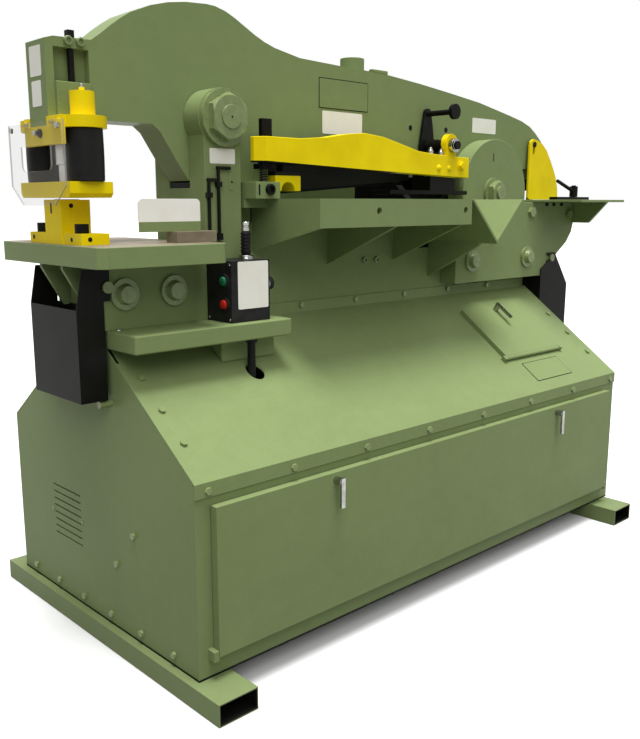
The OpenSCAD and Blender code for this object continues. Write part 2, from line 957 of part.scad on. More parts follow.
// Straps each side of the plate: the left pair carries the pivot, the right pair the notcher
module left_straps() place() color(green) both() difference() {
    union() {
        sheet_xz([[-plate_out, foot_z], [column_end, foot_z], [column_end, pivot_z], [column_x, pivot_z],
            [column_x, foot_top], [-plate_out, foot_top]], -strap_y, -half_p);
        bar_y(pivot_x, -strap_y, -half_p, pivot_z, strap_head_r);
    }
    bar_y(pivot_x, -strap_y - over, over, pivot_z, pivot_r + run_c);
    big_holes();
}
module right_straps() place() color(green) both() difference() {
    union() {
        sheet_xz(concat([[right_x, right_z]], shaped(nose_shares, right_x, right_end - right_x, right_z,
            right_top - right_z),
            [[hump_x + hump_r, right_top], [hump_x + hump_r, hump_z], [hump_left, hump_z],
                [hump_left, work_z - cut_low],
            [right_x, work_z - cut_low - (hump_left - right_x)]]), -strap_y, -half_p);
        bar_y(hump_x, -strap_y, -half_p, hump_z, hump_r);
    }
    sheet_xz([[vee_x, work_z - vee_out - seat_c], [vee_x + vee_out + seat_c * 2, work_z + seat_c],
        [vee_x, work_z + seat_c]], -strap_y - over, over);
    big_holes();
}

// Pivot: fixed pin through straps and beam, with collars and nuts, and the beam's bush
collar_t = 14;
pivot_boss_r = 66;
nut_w = 56;
nut_t = 21;
thread_r = 27.5;
thread_l = 39;
module pivot_pin() place() color(steel) {
    bar_y(pivot_x, -strap_y, strap_y, pivot_z, pivot_r);
    bar_y(pivot_x, -strap_y - thread_l, strap_y + thread_l, pivot_z, thread_r);
}
module pivot_nuts() place() color(green) both() difference() {
    union() {
        bar_y(pivot_x, -strap_y - collar_t, -strap_y, pivot_z, pivot_boss_r);
        nut_y(pivot_x, -strap_y - collar_t, nut_t, pivot_z, nut_w);
    }
    bar_y(pivot_x, -strap_y - collar_t - nut_t - over, -strap_y + over, pivot_z, thread_r + run_c);
}
module pivot_bush() place() color(steel) difference() {
    bar_y(pivot_x, -half_b, half_b, pivot_z, bush_r);
    bar_y(pivot_x, -half_b - over, half_b + over, pivot_z, pivot_r + run_c);
}

// Punch table and what stands on it
module punch_table() place() color(steel) difference() {
    translate([0, 0, foot_top]) linear_extrude(table_t) polygon(cut_corners(-table_out, table_l - table_out,
        table_w / 2, table_cham));
    bar_z(-punch_out, 0, foot_top - over, table_z + over, slug_r);
    for (s = [-1, 1])
        bar_z(die_bolt_x, s * die_bolt_off, table_z - die_bolt_in, table_z + over, die_bolt_shaft + run_c);
}
die_lip = 1;
die_top = work_z - post_gap + die_lip;
module die_holder() place() color(yellow) difference() {
    union() {
        box(-punch_out - base_half, -punch_out + base_half, -base_w / 2, base_w / 2, table_z,
            table_z + base_t);
        box(-punch_out - post_half, -punch_out + post_half, -post_w / 2, post_w / 2, table_z,
            work_z - post_gap);
    }
    bar_z(-punch_out, 0, table_z - over, work_z, slug_r);
    bar_z(-punch_out, 0, die_top - die_h, work_z, die_r + run_c);
    for (s = [-1, 1])
        bar_z(die_bolt_x, s * die_bolt_off, table_z - over, table_z + base_t + over,
            die_bolt_shaft + run_c);
}
module die() place() color(steel) difference() {
    bar_z(-punch_out, 0, die_top - die_h, die_top, die_r);
    bar_z(-punch_out, 0, die_top - die_h - over, die_top + over, die_bore);
}
module die_bolts() place() color(black) for (s = [-1, 1]) translate([die_bolt_x, s * die_bolt_off,
    table_z]) {
    translate([0, 0, -die_bolt_in]) cylinder(h = die_bolt_in + base_t, r = die_bolt_shaft);
    translate([0, 0, base_t]) difference() {
        cylinder(h = die_bolt_h, r = die_bolt_r);
        translate([0, 0, die_bolt_h - socket_d]) cylinder(h = socket_d + over, r = socket_r, $fn = 6);
    }
}
module stop_block() place() color(steel)
    box(stop_x, stop_x + stop_l, -stop_y, -stop_y + stop_w, table_z, table_z + stop_h);
sign_y = -stop_y + sign_in;
sign_z = table_z + stop_h;
module sign_plate() place() color(white) {
    box(sign_x, sign_x + sign_l, sign_y, sign_y + sign_t, sign_z, sign_z + sign_h - sign_r);
    box(sign_x + sign_r, sign_x + sign_l - sign_r, sign_y, sign_y + sign_t, sign_z, sign_z + sign_h);
    for (x = [sign_x + sign_r, sign_x + sign_l - sign_r])
        bar_y(x, sign_y, sign_y + sign_t, sign_z + sign_h - sign_r, sign_r);
}

// Shelf in front of the left strap, with the wedge that steadies it on the slope
module lower_shelf() place() color(green) {
    box(-shelf_out, shelf_l - shelf_out, -shelf_y, -half_p, foot_z - shelf_t, foot_z);
    sheet_yz([[-wedge_y0, foot_z - shelf_t / 2], [-wedge_y1, foot_z - shelf_t / 2],
        [-wedge_y1, slope_z(wedge_y1) + slope_gap],
        [-wedge_y0, slope_z(wedge_y0) + slope_gap]], wedge_x, wedge_x + wedge_l);
}

// Control box with button bezels and the stick's nut
module control_box() place() color(black) difference() {
    union() {
        box(box_x, box_x + box_l, -box_y, -strap_y, foot_z, foot_z + box_h);
        for (up = [start_up, stop_up]) bar_x(box_x - bezel_t, box_x, -button_y, foot_z + up, bezel_r);
        bar_z(stick_x, -stick_y, foot_z + box_h, foot_z + box_h + nut_h, nut_r, $fn = 6);
        bar_x(box_x + box_l, box_x + box_l + gland_x, -gland_y, foot_z + gland_up, side_gland_r);
        bar_x(box_x + box_l, box_x + box_l + side_nut_t, -gland_y, foot_z + gland_up, side_nut_r, $fn = 6);
    }
    box(box_x + box_wall, box_x + box_l - box_wall, -box_y + box_wall, -strap_y - box_wall, foot_z - over,
        foot_z + box_h - box_wall);
    for (up = [start_up, stop_up]) {
        bar_x(box_x - bezel_t - over, box_x, -button_y, foot_z + up, bezel_in);
        bar_x(box_x - over, box_x + over, -button_y, foot_z + up, stem_r + run_c);
    }
    bar_z(stick_x, -stick_y, foot_z + box_h, foot_z + box_h + nut_h + over, nut_in);
}
module button(up) {
    bar_x(box_x - button_out, box_x - button_out + button_t, -button_y, foot_z + up, button_r);
    bar_x(box_x - button_out, box_x - button_out + button_t + stem_l, -button_y, foot_z + up, stem_r);
}
module start_button() place() color(lime) button(start_up);
module stop_button() place() color(red) button(stop_up);
stick_z = foot_z + box_h + stick_ball + move_c;
module control_stick() place() color(grey) translate([stick_x, -stick_y, stick_z]) {
    sphere(r = stick_ball);
    cylinder(h = stick_h, r = stick_r);
    translate([0, 0, nut_h]) cylinder(h = stick_boot, r = stick_boot_r);
    translate([0, 0, stick_h - tip_h / 2]) cylinder(h = tip_h, r = tip_r);
}
module conduit() place() color(grey) {
    translate([conduit_x, -conduit_y, foot_z - shelf_t - conduit_drop]) rotate_extrude()
        polygon(concat([[conduit_bore, 0]], [for (i = [0 : conduit_ribs - 1]) each rib_edge(i)],
            [[conduit_root, conduit_drop], [conduit_bore, conduit_drop]]));
    translate([conduit_x, -conduit_y, foot_z - shelf_t - conduit_nut_h]) difference() {
        cylinder(h = conduit_nut_h, r = conduit_nut_r, $fn = 6);
        translate([0, 0, -over]) cylinder(h = conduit_nut_h + 2 * over, r = conduit_bore);
    }
}
conduit_pitch = conduit_drop / conduit_ribs;
rib_rise_shares = [0, 0.2, 0.6, 0.8];
function rib_edge(i) = [[conduit_root, (i + rib_rise_shares[0]) * conduit_pitch],
    [conduit_r, (i + rib_rise_shares[1]) * conduit_pitch],
    [conduit_r, (i + rib_rise_shares[2]) * conduit_pitch],
    [conduit_root, (i + rib_rise_shares[3]) * conduit_pitch]];
module hex_keys() place() color(black) {
    hex_key(short_key_x, table_z + short_key_up, short_key_l, short_leg);
    hex_key(long_key_x, table_z + long_key_up, long_key_l, long_leg);
    key_clip(short_key_x, table_z + short_clip_up, clip_h);
    key_clip(long_key_x, table_z + long_clip_up, clip_h);
    key_clip(long_key_x, table_z + long_key_up, key_foot_h);
}
module key_clip(x, z, h) box(x - clip_half, x + clip_half, -strap_y - clip_t, -strap_y, z, z + h);
module hex_key(x, z, l, leg) {
    bar_z(x, -strap_y - clip_t / 2, z, z + l, key_r);
    bar_x(x - key_r, x + leg, -strap_y - clip_t / 2, z + l, key_r);
}

// Shear table: top, apron, side plate and ribs
shear_y = -half_p - shear_d;
shear_end = vee_x - vee_out;
module shear_table() place() color(green) difference() {
    union() {
        box(shear_x, shear_end, shear_y, -half_p, work_z - shear_t, work_z);
        box(shear_x, shear_end, shear_y, shear_y + apron_t, work_z - apron_h, work_z);
        sheet_yz([[shear_y, work_z], [shear_y, work_z - apron_h], [-half_p, work_z - side_low],
            [-half_p, work_z]],
            shear_x, shear_x + side_t);
        for (x = rib_xs)
            sheet_yz([[shear_y + apron_t / 2, work_z - shear_t / 2],
                [shear_y + apron_t / 2, work_z - apron_h],
                [-half_p, work_z - rib_low], [-half_p, work_z - shear_t / 2]], x - rib_t / 2,
                    x + rib_t / 2);
    }
    for (s = apron_hole_shares)
        bar_y(shear_x + s * (shear_end - shear_x), shear_y - over, shear_y + apron_t + over,
            work_z - apron_hole_up,
            apron_hole_r);
}
module v_trough() place() color(green) {
    sheet_xz([[vee_x - vee_out, work_z], [vee_x, work_z - vee_out], [vee_x + vee_out, work_z],
        [vee_x + vee_half, work_z],
        [vee_x, vee_tip], [vee_x - vee_half, work_z]], shear_y, -half_p);
    sheet_yz([[shear_y + vee_rib_in, vee_tip - vee_t / 2], [-half_p, vee_tip - vee_t / 2],
        [-half_p, vee_tip - vee_rib_low], [shear_y + vee_rib_in, vee_tip - vee_t * 2]],
        vee_x - rib_t / 2, vee_x + rib_t / 2);
}

// Fixed blades on the frame: straight, V and notch
module fixed_blades() place() color(black) {
    box(lower_x, lower_end, -half_p, -half_p + blade_t, work_z - blade_h, work_z - seat_c);
    sheet_xz([[vee_blade_x, ledge_z], [vee_blade_end, ledge_z], [vee_blade_end, work_z],
        [vee_x + vee_half, work_z],
        [vee_x, vee_tip], [vee_x - vee_half, work_z], [vee_blade_x, work_z]], -half_p, -half_p + blade_t);
    box(die_x, die_x + notch_die_t, -half_p, half_p, work_z - notch_die_h, work_z);
}

// Moving blades on the beam, laid out closed and swung open
upper_z = work_z - shear_bite;
moving_tip = vee_tip - vee_bite;
vee_top = moving_tip + vee_move_half + vee_root;
module upper_blade(c) box(upper_x - c, upper_end + c, -shear_plane - c, -shear_plane + upper_blade_t + c,
    upper_z, upper_z + blade_h + c);
module upper_vee(c) sheet_xz([[vee_x, moving_tip], [vee_x + vee_move_half + c, moving_tip + vee_move_half],
    [vee_x + vee_move_half + c, vee_top + c], [vee_x - vee_move_half - c, vee_top + c],
    [vee_x - vee_move_half - c, moving_tip + vee_move_half]], -shear_plane - c,
        -shear_plane + upper_blade_t + c);
module moving_blades() place() color(black) {
    swung() upper_blade(0);
    swung() upper_vee(0);
    sheet_xz([[blade_bar_x, work_z + blade_bar_low1], [blade_bar_end, work_z + blade_bar_low2],
        [blade_bar_end, work_z + blade_bar_top], [blade_bar_x, work_z + blade_bar_top]],
        -half_b - blade_bar_t, -half_b);
    box(notch_punch_x, notch_punch_end, -notch_punch_t / 2, notch_punch_t / 2,
        notch_bottom - notch_punch_h, notch_bottom);
}

// Beam with the head slot, bush bore, blade seats and the clevis pocket
module beam() place() color(green) difference() {
    sheet_xz(shaped(beam_shares, beam_x, beam_l, knee_z, beam_h), -half_b, half_b);
    bar_y(pivot_x, -half_b - over, half_b + over, pivot_z, bush_r + run_c);
    box(slot_x - slot_half, slot_x + slot_half, -half_b - over, -half_b + slot_depth,
        head_z - over, head_z + slot_h);
    bar_z(screw_x, -half_b + slot_depth / 2, head_z, head_z + beam_top_h + over, screw_r + run_c);
    swung() upper_blade(seat_c);
    swung() upper_vee(seat_c);
    box(cyl_x - pocket_left, cyl_x + pocket_right, -pocket_t / 2, pocket_t / 2, knee_z - over,
        pin_z + pocket_up);
    bar_y(cyl_x, -half_b - over, half_b + over, pin_z, pin_r + run_c);
    bar_z(boss_x, 0, knee_z + boss_top, knee_z + beam_h, boss_r + run_c);
}
module clevis_pin() place() color(steel) bar_y(cyl_x, -half_b, half_b, pin_z, pin_r);
module ram_block() place() color(green)
    box(slot_x - slot_half + seat_c, slot_x + slot_half - seat_c, -half_b - ram_proud,
        -half_b + slot_depth - seat_c, head_z, head_z + ram_h);
module adjusting_screw() place() color(black) {
    y = -half_b + slot_depth / 2;
    bar_z(screw_x, y, head_z + ram_h, head_z + beam_top_h, screw_r);
    box(screw_x - screw_head_half, screw_x + screw_head_half, y - screw_head_half, y + screw_head_half,
        head_z + beam_top_h, head_z + beam_top_h + screw_head_h);
    for (s = [-1, 1]) translate([-punch_out + cap_screw_in + s * cap_screw_off, -half_b,
        head_z + slot_h + keeper_h / 2]) rotate([90, 0, 0]) cylinder(h = cap_screw_h, r = cap_screw_r);
}
module lifting_boss() place() color(green) {
    bar_z(boss_x, 0, knee_z + boss_top, knee_z + boss_top + boss_low, boss_r);
    difference() {
        box(lug_x, lug_x + lug_l, -half_b, -half_b + lug_t, knee_z + lug_low, knee_z + lug_low + lug_h);
        sheet_xz(shaped(beam_shares, beam_x, beam_l, knee_z, beam_h), -half_b - over, half_b);
    }
}

// Punch holder: top plate with caps and guard bracket, springs, stripper, punch, guard
top_z = head_z - top_t;
strip_top = top_z - ureth_h;
module stadium(r, z0, z1) {
    box(-punch_out - r, -punch_out + r, -rod_off, rod_off, z0, z1);
    for (s = [-1, 1]) bar_z(-punch_out, s * rod_off, z0, z1, r);
}
hinge_z = head_z - hinge_drop;
hinge_x = guard_x + hinge_back;
module top_plate() place() color(yellow) {
    difference() {
        union() {
            stadium(top_r, top_z, head_z);
            for (s = [-1, 1]) bar_z(-punch_out, s * rod_off, head_z, head_z + cap_h, cap_r);
            for (s = [-1, 1]) bar_z(-punch_out, s * rod_off, head_z, head_z + cap_h + nipple_h, nipple_r);
            box(-punch_out - top_r - bracket_t, -punch_out - top_r + over, -bracket_y0, bracket_y1, top_z,
                head_z);
            box(-punch_out - top_r - bracket_t, -punch_out - top_r, -bracket_y0, bracket_y1,
                head_z - top_t - bracket_drop, head_z);
        }
        for (s = [-1, 1]) {
            bar_z(-punch_out, s * rod_off, top_z - over, head_z + over, strip_rod_r + run_c);
            bar_z(-punch_out, s * rod_off, head_z, head_z + cap_h - cap_wall, cap_bore);
        }
        bar_z(-punch_out, 0, top_z - over, head_z + over, punch_body_r + run_c);
        box(-punch_out - top_r - bracket_t - over, beam_x + lip_end_share * beam_l + seat_c,
            -half_b - seat_c, half_b + seat_c, knee_z + lip_share * beam_h - seat_c, head_z + over);
    }
    for (y = [-bracket_y0, bracket_y1 - ear_t]) {
        box(hinge_x - guard_ear, -punch_out - top_r - bracket_t + over, y, y + ear_t, hinge_z - guard_ear,
            hinge_z + guard_ear);
    }
    bar_y(hinge_x, -bracket_y0, knuckle_y0 + knuckle_l, hinge_z, guard_pin_r);
    bar_y(hinge_x, knuckle_y1 - knuckle_l, bracket_y1, hinge_z, guard_pin_r);
}
module urethane_springs() place() color(black) for (s = [-1, 1]) difference() {
    bar_z(-punch_out, s * rod_off, strip_top + move_c, top_z, ureth_r);
    bar_z(-punch_out, s * rod_off, strip_top - over, top_z + over, strip_rod_r + move_c);
}
module stripper() place() color(yellow) {
    difference() {
        union() {
            sheet_yz([[-strip_w / 2 + strip_cham, strip_top - strip_h],
                [strip_w / 2 - strip_cham, strip_top - strip_h],
                [strip_w / 2, strip_top - strip_h + strip_cham], [strip_w / 2, strip_top],
                    [-strip_w / 2, strip_top],
                [-strip_w / 2, strip_top - strip_h + strip_cham]], -punch_out - strip_half,
                    -punch_out + strip_half);
            for (s = [-1, 1]) bar_z(-punch_out, s * rod_off, strip_top - strip_h / 2, head_z + rod_head,
                strip_rod_r);
        }
        bar_z(-punch_out, 0, strip_top - strip_h - over, strip_top + over, strip_hole);
    }
}
module punch() place() color(steel) {
    bar_z(-punch_out, 0, strip_top - strip_h + punch_tip, head_z, punch_r);
    bar_z(-punch_out, 0, strip_top - strip_h + punch_neck, head_z, punch_body_r);
}
knuckle_y0 = -bracket_y0 + ear_t + move_c;
knuckle_y1 = bracket_y1 - ear_t - move_c;
pane_z = work_z - pane_low;
module clear_guard() place() color(clear) difference() {
    union() {
        sheet_yz([[-pane_y0 + pane_cham_w, pane_z], [pane_y1 - pane_cham_w, pane_z],
            [pane_y1, pane_z + pane_cham_h], [pane_y1, hinge_z + pane_over], [-pane_y0, hinge_z + pane_over],
            [-pane_y0, pane_z + pane_cham_h]], guard_x - pane_t / 2, guard_x + pane_t / 2);
        for (y = [knuckle_y0, knuckle_y1 - knuckle_l]) {
            box(guard_x, hinge_x, y, y + knuckle_l, hinge_z - guard_pin_r, hinge_z + pane_over);
            bar_y(hinge_x, y, y + knuckle_l, hinge_z, knuckle_r);
        }
        for (y = [-pane_y0 + guard_screw_in, pane_y1 - guard_screw_in])
            bar_x(guard_x - guard_screw_h, guard_x, y, hinge_z - guard_screw_low, guard_screw_r);
    }
    bar_y(hinge_x, -bracket_y0 - over, bracket_y1 + over, hinge_z, guard_pin_r + run_c);
    box(guard_x - over, guard_x + over, -window_y0, window_y1, work_z + window_low + window_r,
        work_z + window_low + window_h);
    box(guard_x - over, guard_x + over, -window_y0 + window_r, window_y1 - window_r, work_z + window_low,
        work_z + window_low + window_h);
    for (y = [-window_y0 + window_r, window_y1 - window_r])
        bar_x(guard_x - over, guard_x + over, y, work_z + window_low + window_r, window_r);
}

// Access door, its two latches, the slope hatch and its latch
module access_door() place() color(green) difference() {
    union() {
        difference() {
            box(door_x, door_x + door_l, door_y - door_t, door_y, door_z, door_z + door_h);
            box(door_x + pan_t, door_x + door_l - pan_t, door_y - door_t + pan_t, door_y + over,
                door_z + pan_t,
                door_z + door_h - pan_t);
        }
        for (x = [door_x, door_x + door_l - end_block])
            box(x, x + end_block, door_y - door_t, door_y, door_z, door_z + end_block);
    }
    bar_x(door_x - over, door_x + end_block, door_axis_y, door_axis_z, hinge_r + run_c);
    bar_x(door_x + door_l - end_block, door_x + door_l + over, door_axis_y, door_axis_z, hinge_r + run_c);
    for (s = latch_shares)
        bar_y(door_x + s * door_l, door_y - door_t - over, door_y, door_z + door_h - latch_drop,
            latch_stem_r + run_c);
}
module latch(x) {
    z = door_z + door_h - latch_drop;
    y = door_y - door_t - move_c;
    bar_y(x, y - latch_boss_t, y, z, latch_boss_r);
    bar_y(x, y, -half_w + sheet_t, z, latch_stem_r);
    box(x - latch_w / 2, x + latch_w / 2, y - latch_boss_t - latch_t / 2, y - latch_boss_t + latch_t / 2,
        z - latch_arm, z + latch_boss_r);
    box(x - latch_w / 2, x + latch_w / 2, -half_w, -half_w + sheet_t, z, z + cam_h);
}
module left_latch() place() color(steel) latch(door_x + latch_shares[0] * door_l);
module right_latch() place() color(steel) latch(door_x + latch_shares[1] * door_l);
module slope_hatch() place() color(green) on_slope() difference() {
    union() {
        box(hatch_x, hatch_x + hatch_l, hatch_up, hatch_up + hatch_w, move_c, hatch_t);
        bar_x(hatch_x, hatch_x + hatch_l, hatch_axis_y, hatch_axis_z, hatch_axis_z - move_c);
        box(hatch_x, hatch_x + hatch_l, hatch_axis_y, hatch_up + over, move_c, hatch_t - move_c);
    }
    bar_x(hatch_x - over, hatch_x + hatch_l + over, hatch_axis_y, hatch_axis_z, hinge_r + run_c);
    translate([hatch_x + hatch_share * hatch_l, hatch_up + hatch_w - hatch_edge, -over])
        cylinder(h = hatch_t + 2 * over, r = latch_stem_r + run_c);
}
module hatch_latch() place() color(steel) on_slope()
    translate([hatch_x + hatch_share * hatch_l, hatch_up + hatch_w - hatch_edge, 0]) {
        translate([0, 0, -over]) cylinder(h = hatch_t + over + move_c * 2, r = latch_stem_r);
        translate([0, 0, hatch_t + move_c]) cylinder(h = latch_boss_t, r = latch_boss_r);
        translate([-latch_w / 2, -latch_arm, hatch_t + move_c + latch_boss_t - latch_t / 2])
            cube([latch_w, latch_arm + latch_boss_r, latch_t]);
    }

// Hold-down: bar with feet and collar, brackets, post with stud, lift spring and crank
bar_z0 = work_z + bar_up;
crank_z = work_z + crank_up;
module hold_down_bar() place() color(yellow) difference() {
    union() {
        sheet_xz(shaped(bar_shares, bar_x, bar_l, bar_z0, bar_h), -bar_y, -bar_y + bar_t);
        difference() {
            box(bar_foot_x, bar_foot_x + bar_foot_l, -bar_y + bar_t / 2, -bar_foot_y,
                work_z + bar_foot_low, work_z + bar_foot_high);
            bar_y(bar_foot_x + bar_foot_l / 2, -bar_y, 0, work_z + bar_foot_low, bar_notch_r);
        }
        box(neck_x, neck_x + neck_l, -neck_y - neck_t, -neck_y, work_z + bar_foot_high - over,
            bar_z0 + bar_left_share * bar_h + over);
        box(foot_x, foot_x + foot_l, -bar_y + bar_t / 2, -foot_y, work_z + foot_low, work_z + foot_high);
        box(shoe_x, shoe_x + shoe_l, -shoe_y0, -shoe_y1, work_z + shoe_low, work_z + shoe_low + shoe_t);
        box(crank_x - web_half, crank_x + web_half, -bar_y, -bar_y + ring_t, bar_z0 + web_low,
            crank_z + bar_travel / 2);
        bar_y(crank_x, -bar_y, -bar_y + ring_t, crank_z + bar_travel / 2, ring_r);
    }
    for (up = [0, bar_travel])
        bar_y(crank_x, -bar_y - over, -bar_y + bar_t + over, crank_z + up, crank_bore + move_c);
    box(crank_x - crank_bore - move_c, crank_x + crank_bore + move_c, -bar_y - over, -bar_y + bar_t + over,
        crank_z, crank_z + bar_travel);
    bar_z(stud_x, -stud_y, work_z, bar_z0 + bar_left_share * bar_h + bore_d, bore_r);
    translate([bar_x, -bar_y, bar_z0]) linear_extrude(bar_h) polygon([[-over, -over], [bar_cham_l, -over],
        [bar_cham_l, 0], [0, bar_cham_w], [-over, bar_cham_w]]);
}
module hold_down_brackets() place() color(green) {
    box(bracket_x, bracket_x + bracket_l, -bar_y, -half_p, work_z, work_z + bracket_h);
    box(bracket_x, shear_x, -strap_y, -half_p, work_z - flange_low, work_z);
    difference() {
        union() {
            box(arm_x, arm_end, -arm_y0, -arm_y1, work_z + arm_low, work_z + arm_high);
            box(arm_x, 2 * crank_x - arm_x, -arm_y0, -arm_y1, work_z + arm_low, crank_z);
            bar_y(crank_x, -arm_y0, -arm_y1, crank_z, eye_r);
        }
        bar_y(crank_x, -arm_y0 - over, -arm_y1 + over, crank_z, crank_bore + run_c);
        bar_y(hump_x, -strap_y - over, 0, hump_z, hump_r);
    }
}
module hold_down_post() place() color(black) {
    box(post_x, post_x + post_s, -post_y, -post_y + post_s, work_z + bracket_h,
        work_z + bracket_h + post_low_h);
    box(post_top_x, post_top_x + post_top_l, -post_y, -post_y + post_top_t, work_z + bracket_h + post_up,
        work_z + bracket_h + post_h);
    bar_z(stud_x, -stud_y, work_z + bracket_h, work_z + bracket_h + stud_l, stud_r);
}

// Lift spring: one round wire wound as a helix between bracket and bar
spring_z0 = work_z + bracket_h + wire_r + coil_gap;
spring_z1 = bar_z0 + bar_left_share * bar_h - wire_r - coil_gap * 2;
coil_n = coil_turns * coil_rings;
function coil_p(i) = [coil_r * cos(360 * i / coil_rings), coil_r * sin(360 * i / coil_rings),
    (spring_z1 - spring_z0) * i / coil_n];
function unit(v) = v / norm(v);
function coil_ring(i) = let (t = unit(coil_p(i + 0.5) - coil_p(i - 0.5)),
    n = [cos(360 * i / coil_rings), sin(360 * i / coil_rings), 0],
    b = cross(t, n)) [for (j = [0 : coil_sides - 1]) coil_p(i) + wire_r * (cos(360 * j / coil_sides) * n
    + sin(360 * j / coil_sides) * b)];
function coil_pts() = [for (i = [0 : coil_n]) each coil_ring(i)];
function coil_id(i, j) = i * coil_sides + j % coil_sides;
function coil_faces() = concat(
    [for (i = [0 : coil_n - 1], j = [0 : coil_sides - 1]) [coil_id(i, j), coil_id(i, j + 1),
        coil_id(i + 1, j + 1)]],
    [for (i = [0 : coil_n - 1], j = [0 : coil_sides - 1]) [coil_id(i, j), coil_id(i + 1, j + 1),
        coil_id(i + 1, j)]],
    [for (j = [1 : coil_sides - 2]) [coil_id(0, 0), coil_id(0, j + 1), coil_id(0, j)]],
    [for (j = [1 : coil_sides - 2]) [coil_id(coil_n, 0), coil_id(coil_n, j), coil_id(coil_n, j + 1)]]);
coil_clear = min([for (i = [0 : coil_n - coil_rings]) norm(coil_p(i + coil_rings) - coil_p(i))])
    - wire_r - wire_r;
echo(str("lift spring least gap between turns: ", coil_clear));
module lift_spring() place() color(black) translate([stud_x, -stud_y, spring_z0])
    polyhedron(points = coil_pts(), faces = coil_faces());

module crank() place() color(black) translate([crank_x, 0, crank_z]) {
    bar_y(0, -bar_y - washer_t, -crank_y + crank_t, 0, crank_bore);
    bar_y(0, -bar_y - washer_t - move_c, -bar_y - move_c, 0, washer_r);
    bar_y(0, -bar_y - washer_t - nose_l, -bar_y - washer_t, 0, nose_r);
    bar_y(0, -bar_y + ring_t + move_c, -arm_y0 - move_c, 0, hub_r);
    bar_y(0, -crank_y, -crank_y + crank_t, 0, crank_hub);
    sheet_xz([[-crank_hub, 0], [crank_hub, 0], [crank_top, crank_arm], [-crank_top, crank_arm]], -crank_y,
        -crank_y + crank_t);
    bar_y(0, -crank_y, -crank_y + crank_t, crank_arm, crank_top);
    bar_y(0, -handle_end, -crank_y + crank_t / 2, crank_arm, handle_r);
    bar_y(0, -handle_end - knob_t, -handle_end, crank_arm, knob_r);
}

// Notcher table with ribs, fence with clamp stud, guard post, guard and clamp lever
module notcher_table() place() color(green) {
    difference() {
        box(notch_x, far_end, -notch_d, notch_d, work_z - notch_t, work_z);
        box(die_x - notch_lap, far_end + over, -half_p, half_p, work_z - notch_t - over, work_z + over);
    }
    both() sheet_yz([[-strap_y, work_z - notch_t], [-strap_y - notch_rib_top, work_z - notch_t],
            [-strap_y - notch_rib_foot, work_z - notch_t - notch_rib_h],
                [-strap_y, work_z - notch_t - notch_rib_h]],
            notch_rib_x, notch_rib_x + notch_rib_t);
}
module notch_fence() place() color(black) {
    box(fence_x, fence_x + fence_l, -fence_y, -fence_y + fence_w, work_z, work_z + fence_t);
    bar_z(clamp_x, -fence_y + fence_w / 2, work_z + fence_t, work_z + fence_t + clamp_stud_h, clamp_stud);
    box(gpost_x, gpost_x + gpost_l, -gpost_y, -gpost_y + gpost_t, work_z, work_z + gpost_h);
    bar_y(guard_bolt_x, -guard_y - move_c, -gpost_y, work_z + guard_bolt_up, guard_bolt_r);
    bar_y(guard_bolt_x, -guard_y - move_c - guard_head_t, -guard_y - move_c, work_z + guard_bolt_up,
        guard_head_r);
}
module notch_guard() place() color(yellow) difference() {
    sheet_xz(shaped(guard_shares, guard_left, guard_w, work_z + guard_up, guard_h), -guard_y,
        -guard_y + guard_t);
    box(guard_bolt_x - guard_bolt_r - move_c, guard_bolt_x + guard_bolt_r + move_c, -guard_y - over,
        -guard_y + guard_t + over,
        work_z + guard_bolt_up - guard_travel, work_z + guard_bolt_up);
    for (dz = [0, -guard_travel])
        bar_y(guard_bolt_x, -guard_y - over, -guard_y + guard_t + over, work_z + guard_bolt_up + dz,
            guard_bolt_r + move_c);
}
module clamp_lever() place() color(black) translate([clamp_x, -fence_y + fence_w / 2,
    work_z + fence_t + move_c])
    difference() {
        union() {
            cylinder(h = clamp_h, r = clamp_hub);
            translate([0, 0, clamp_h / 2]) rotate([0, -90 + clamp_tilt, 0]) cylinder(h = clamp_arm,
                r = clamp_arm_r);
            translate([0, 0, clamp_h / 2]) rotate([0, -90 + clamp_tilt, 0]) translate([0, 0,
                clamp_arm]) sphere(r = clamp_arm_r);
        }
        translate([0, 0, -over]) cylinder(h = clamp_h + 2 * over, r = clamp_stud + run_c);
    }

// Buckets that hang on pegs outside the straps
bucket_y = strap_y + bucket_gap;
slug_x1 = -plate_out - bucket_gap;
slug_x0 = slug_x1 - slug_l;
peg_z = foot_z + slug_peg_up;
module slug_bucket() place() color(black) {
    difference() {
        both() sheet_xz([[slug_x0 + bucket_wall, slug_z], [slug_x1, slug_z],
            [slug_x1, peg_z - slug_ear_low / 2],
            [slug_x1 + slug_ear, peg_z - slug_ear_low / 2], [slug_x1 + slug_ear, slug_z + slug_side_h],
            [slug_x0 + slug_ear, slug_z + slug_side_h], [slug_x0, slug_z + slug_wall_h]],
            -bucket_y - bucket_wall, -bucket_y);
        box(slug_peg_x, slug_x1 + slug_ear + over, -bucket_y * 2, bucket_y * 2, peg_z - peg_r - peg_c,
            peg_z + peg_r + peg_c);
        bar_y(slug_peg_x, -bucket_y * 2, bucket_y * 2, peg_z, peg_r + peg_c);
    }
    box(slug_x0, slug_x0 + bucket_wall, -bucket_y - bucket_wall, bucket_y + bucket_wall, slug_z,
        slug_z + slug_wall_h);
    box(slug_x1 - bucket_wall, slug_x1, -bucket_y - bucket_wall, bucket_y + bucket_wall, slug_z,
        slug_z + slug_wall_h);
    box(slug_x0, slug_x1, -bucket_y - bucket_wall, bucket_y + bucket_wall, slug_z, slug_z + bucket_wall);
}
scrap_peg_z = right_z + scrap_peg_up;
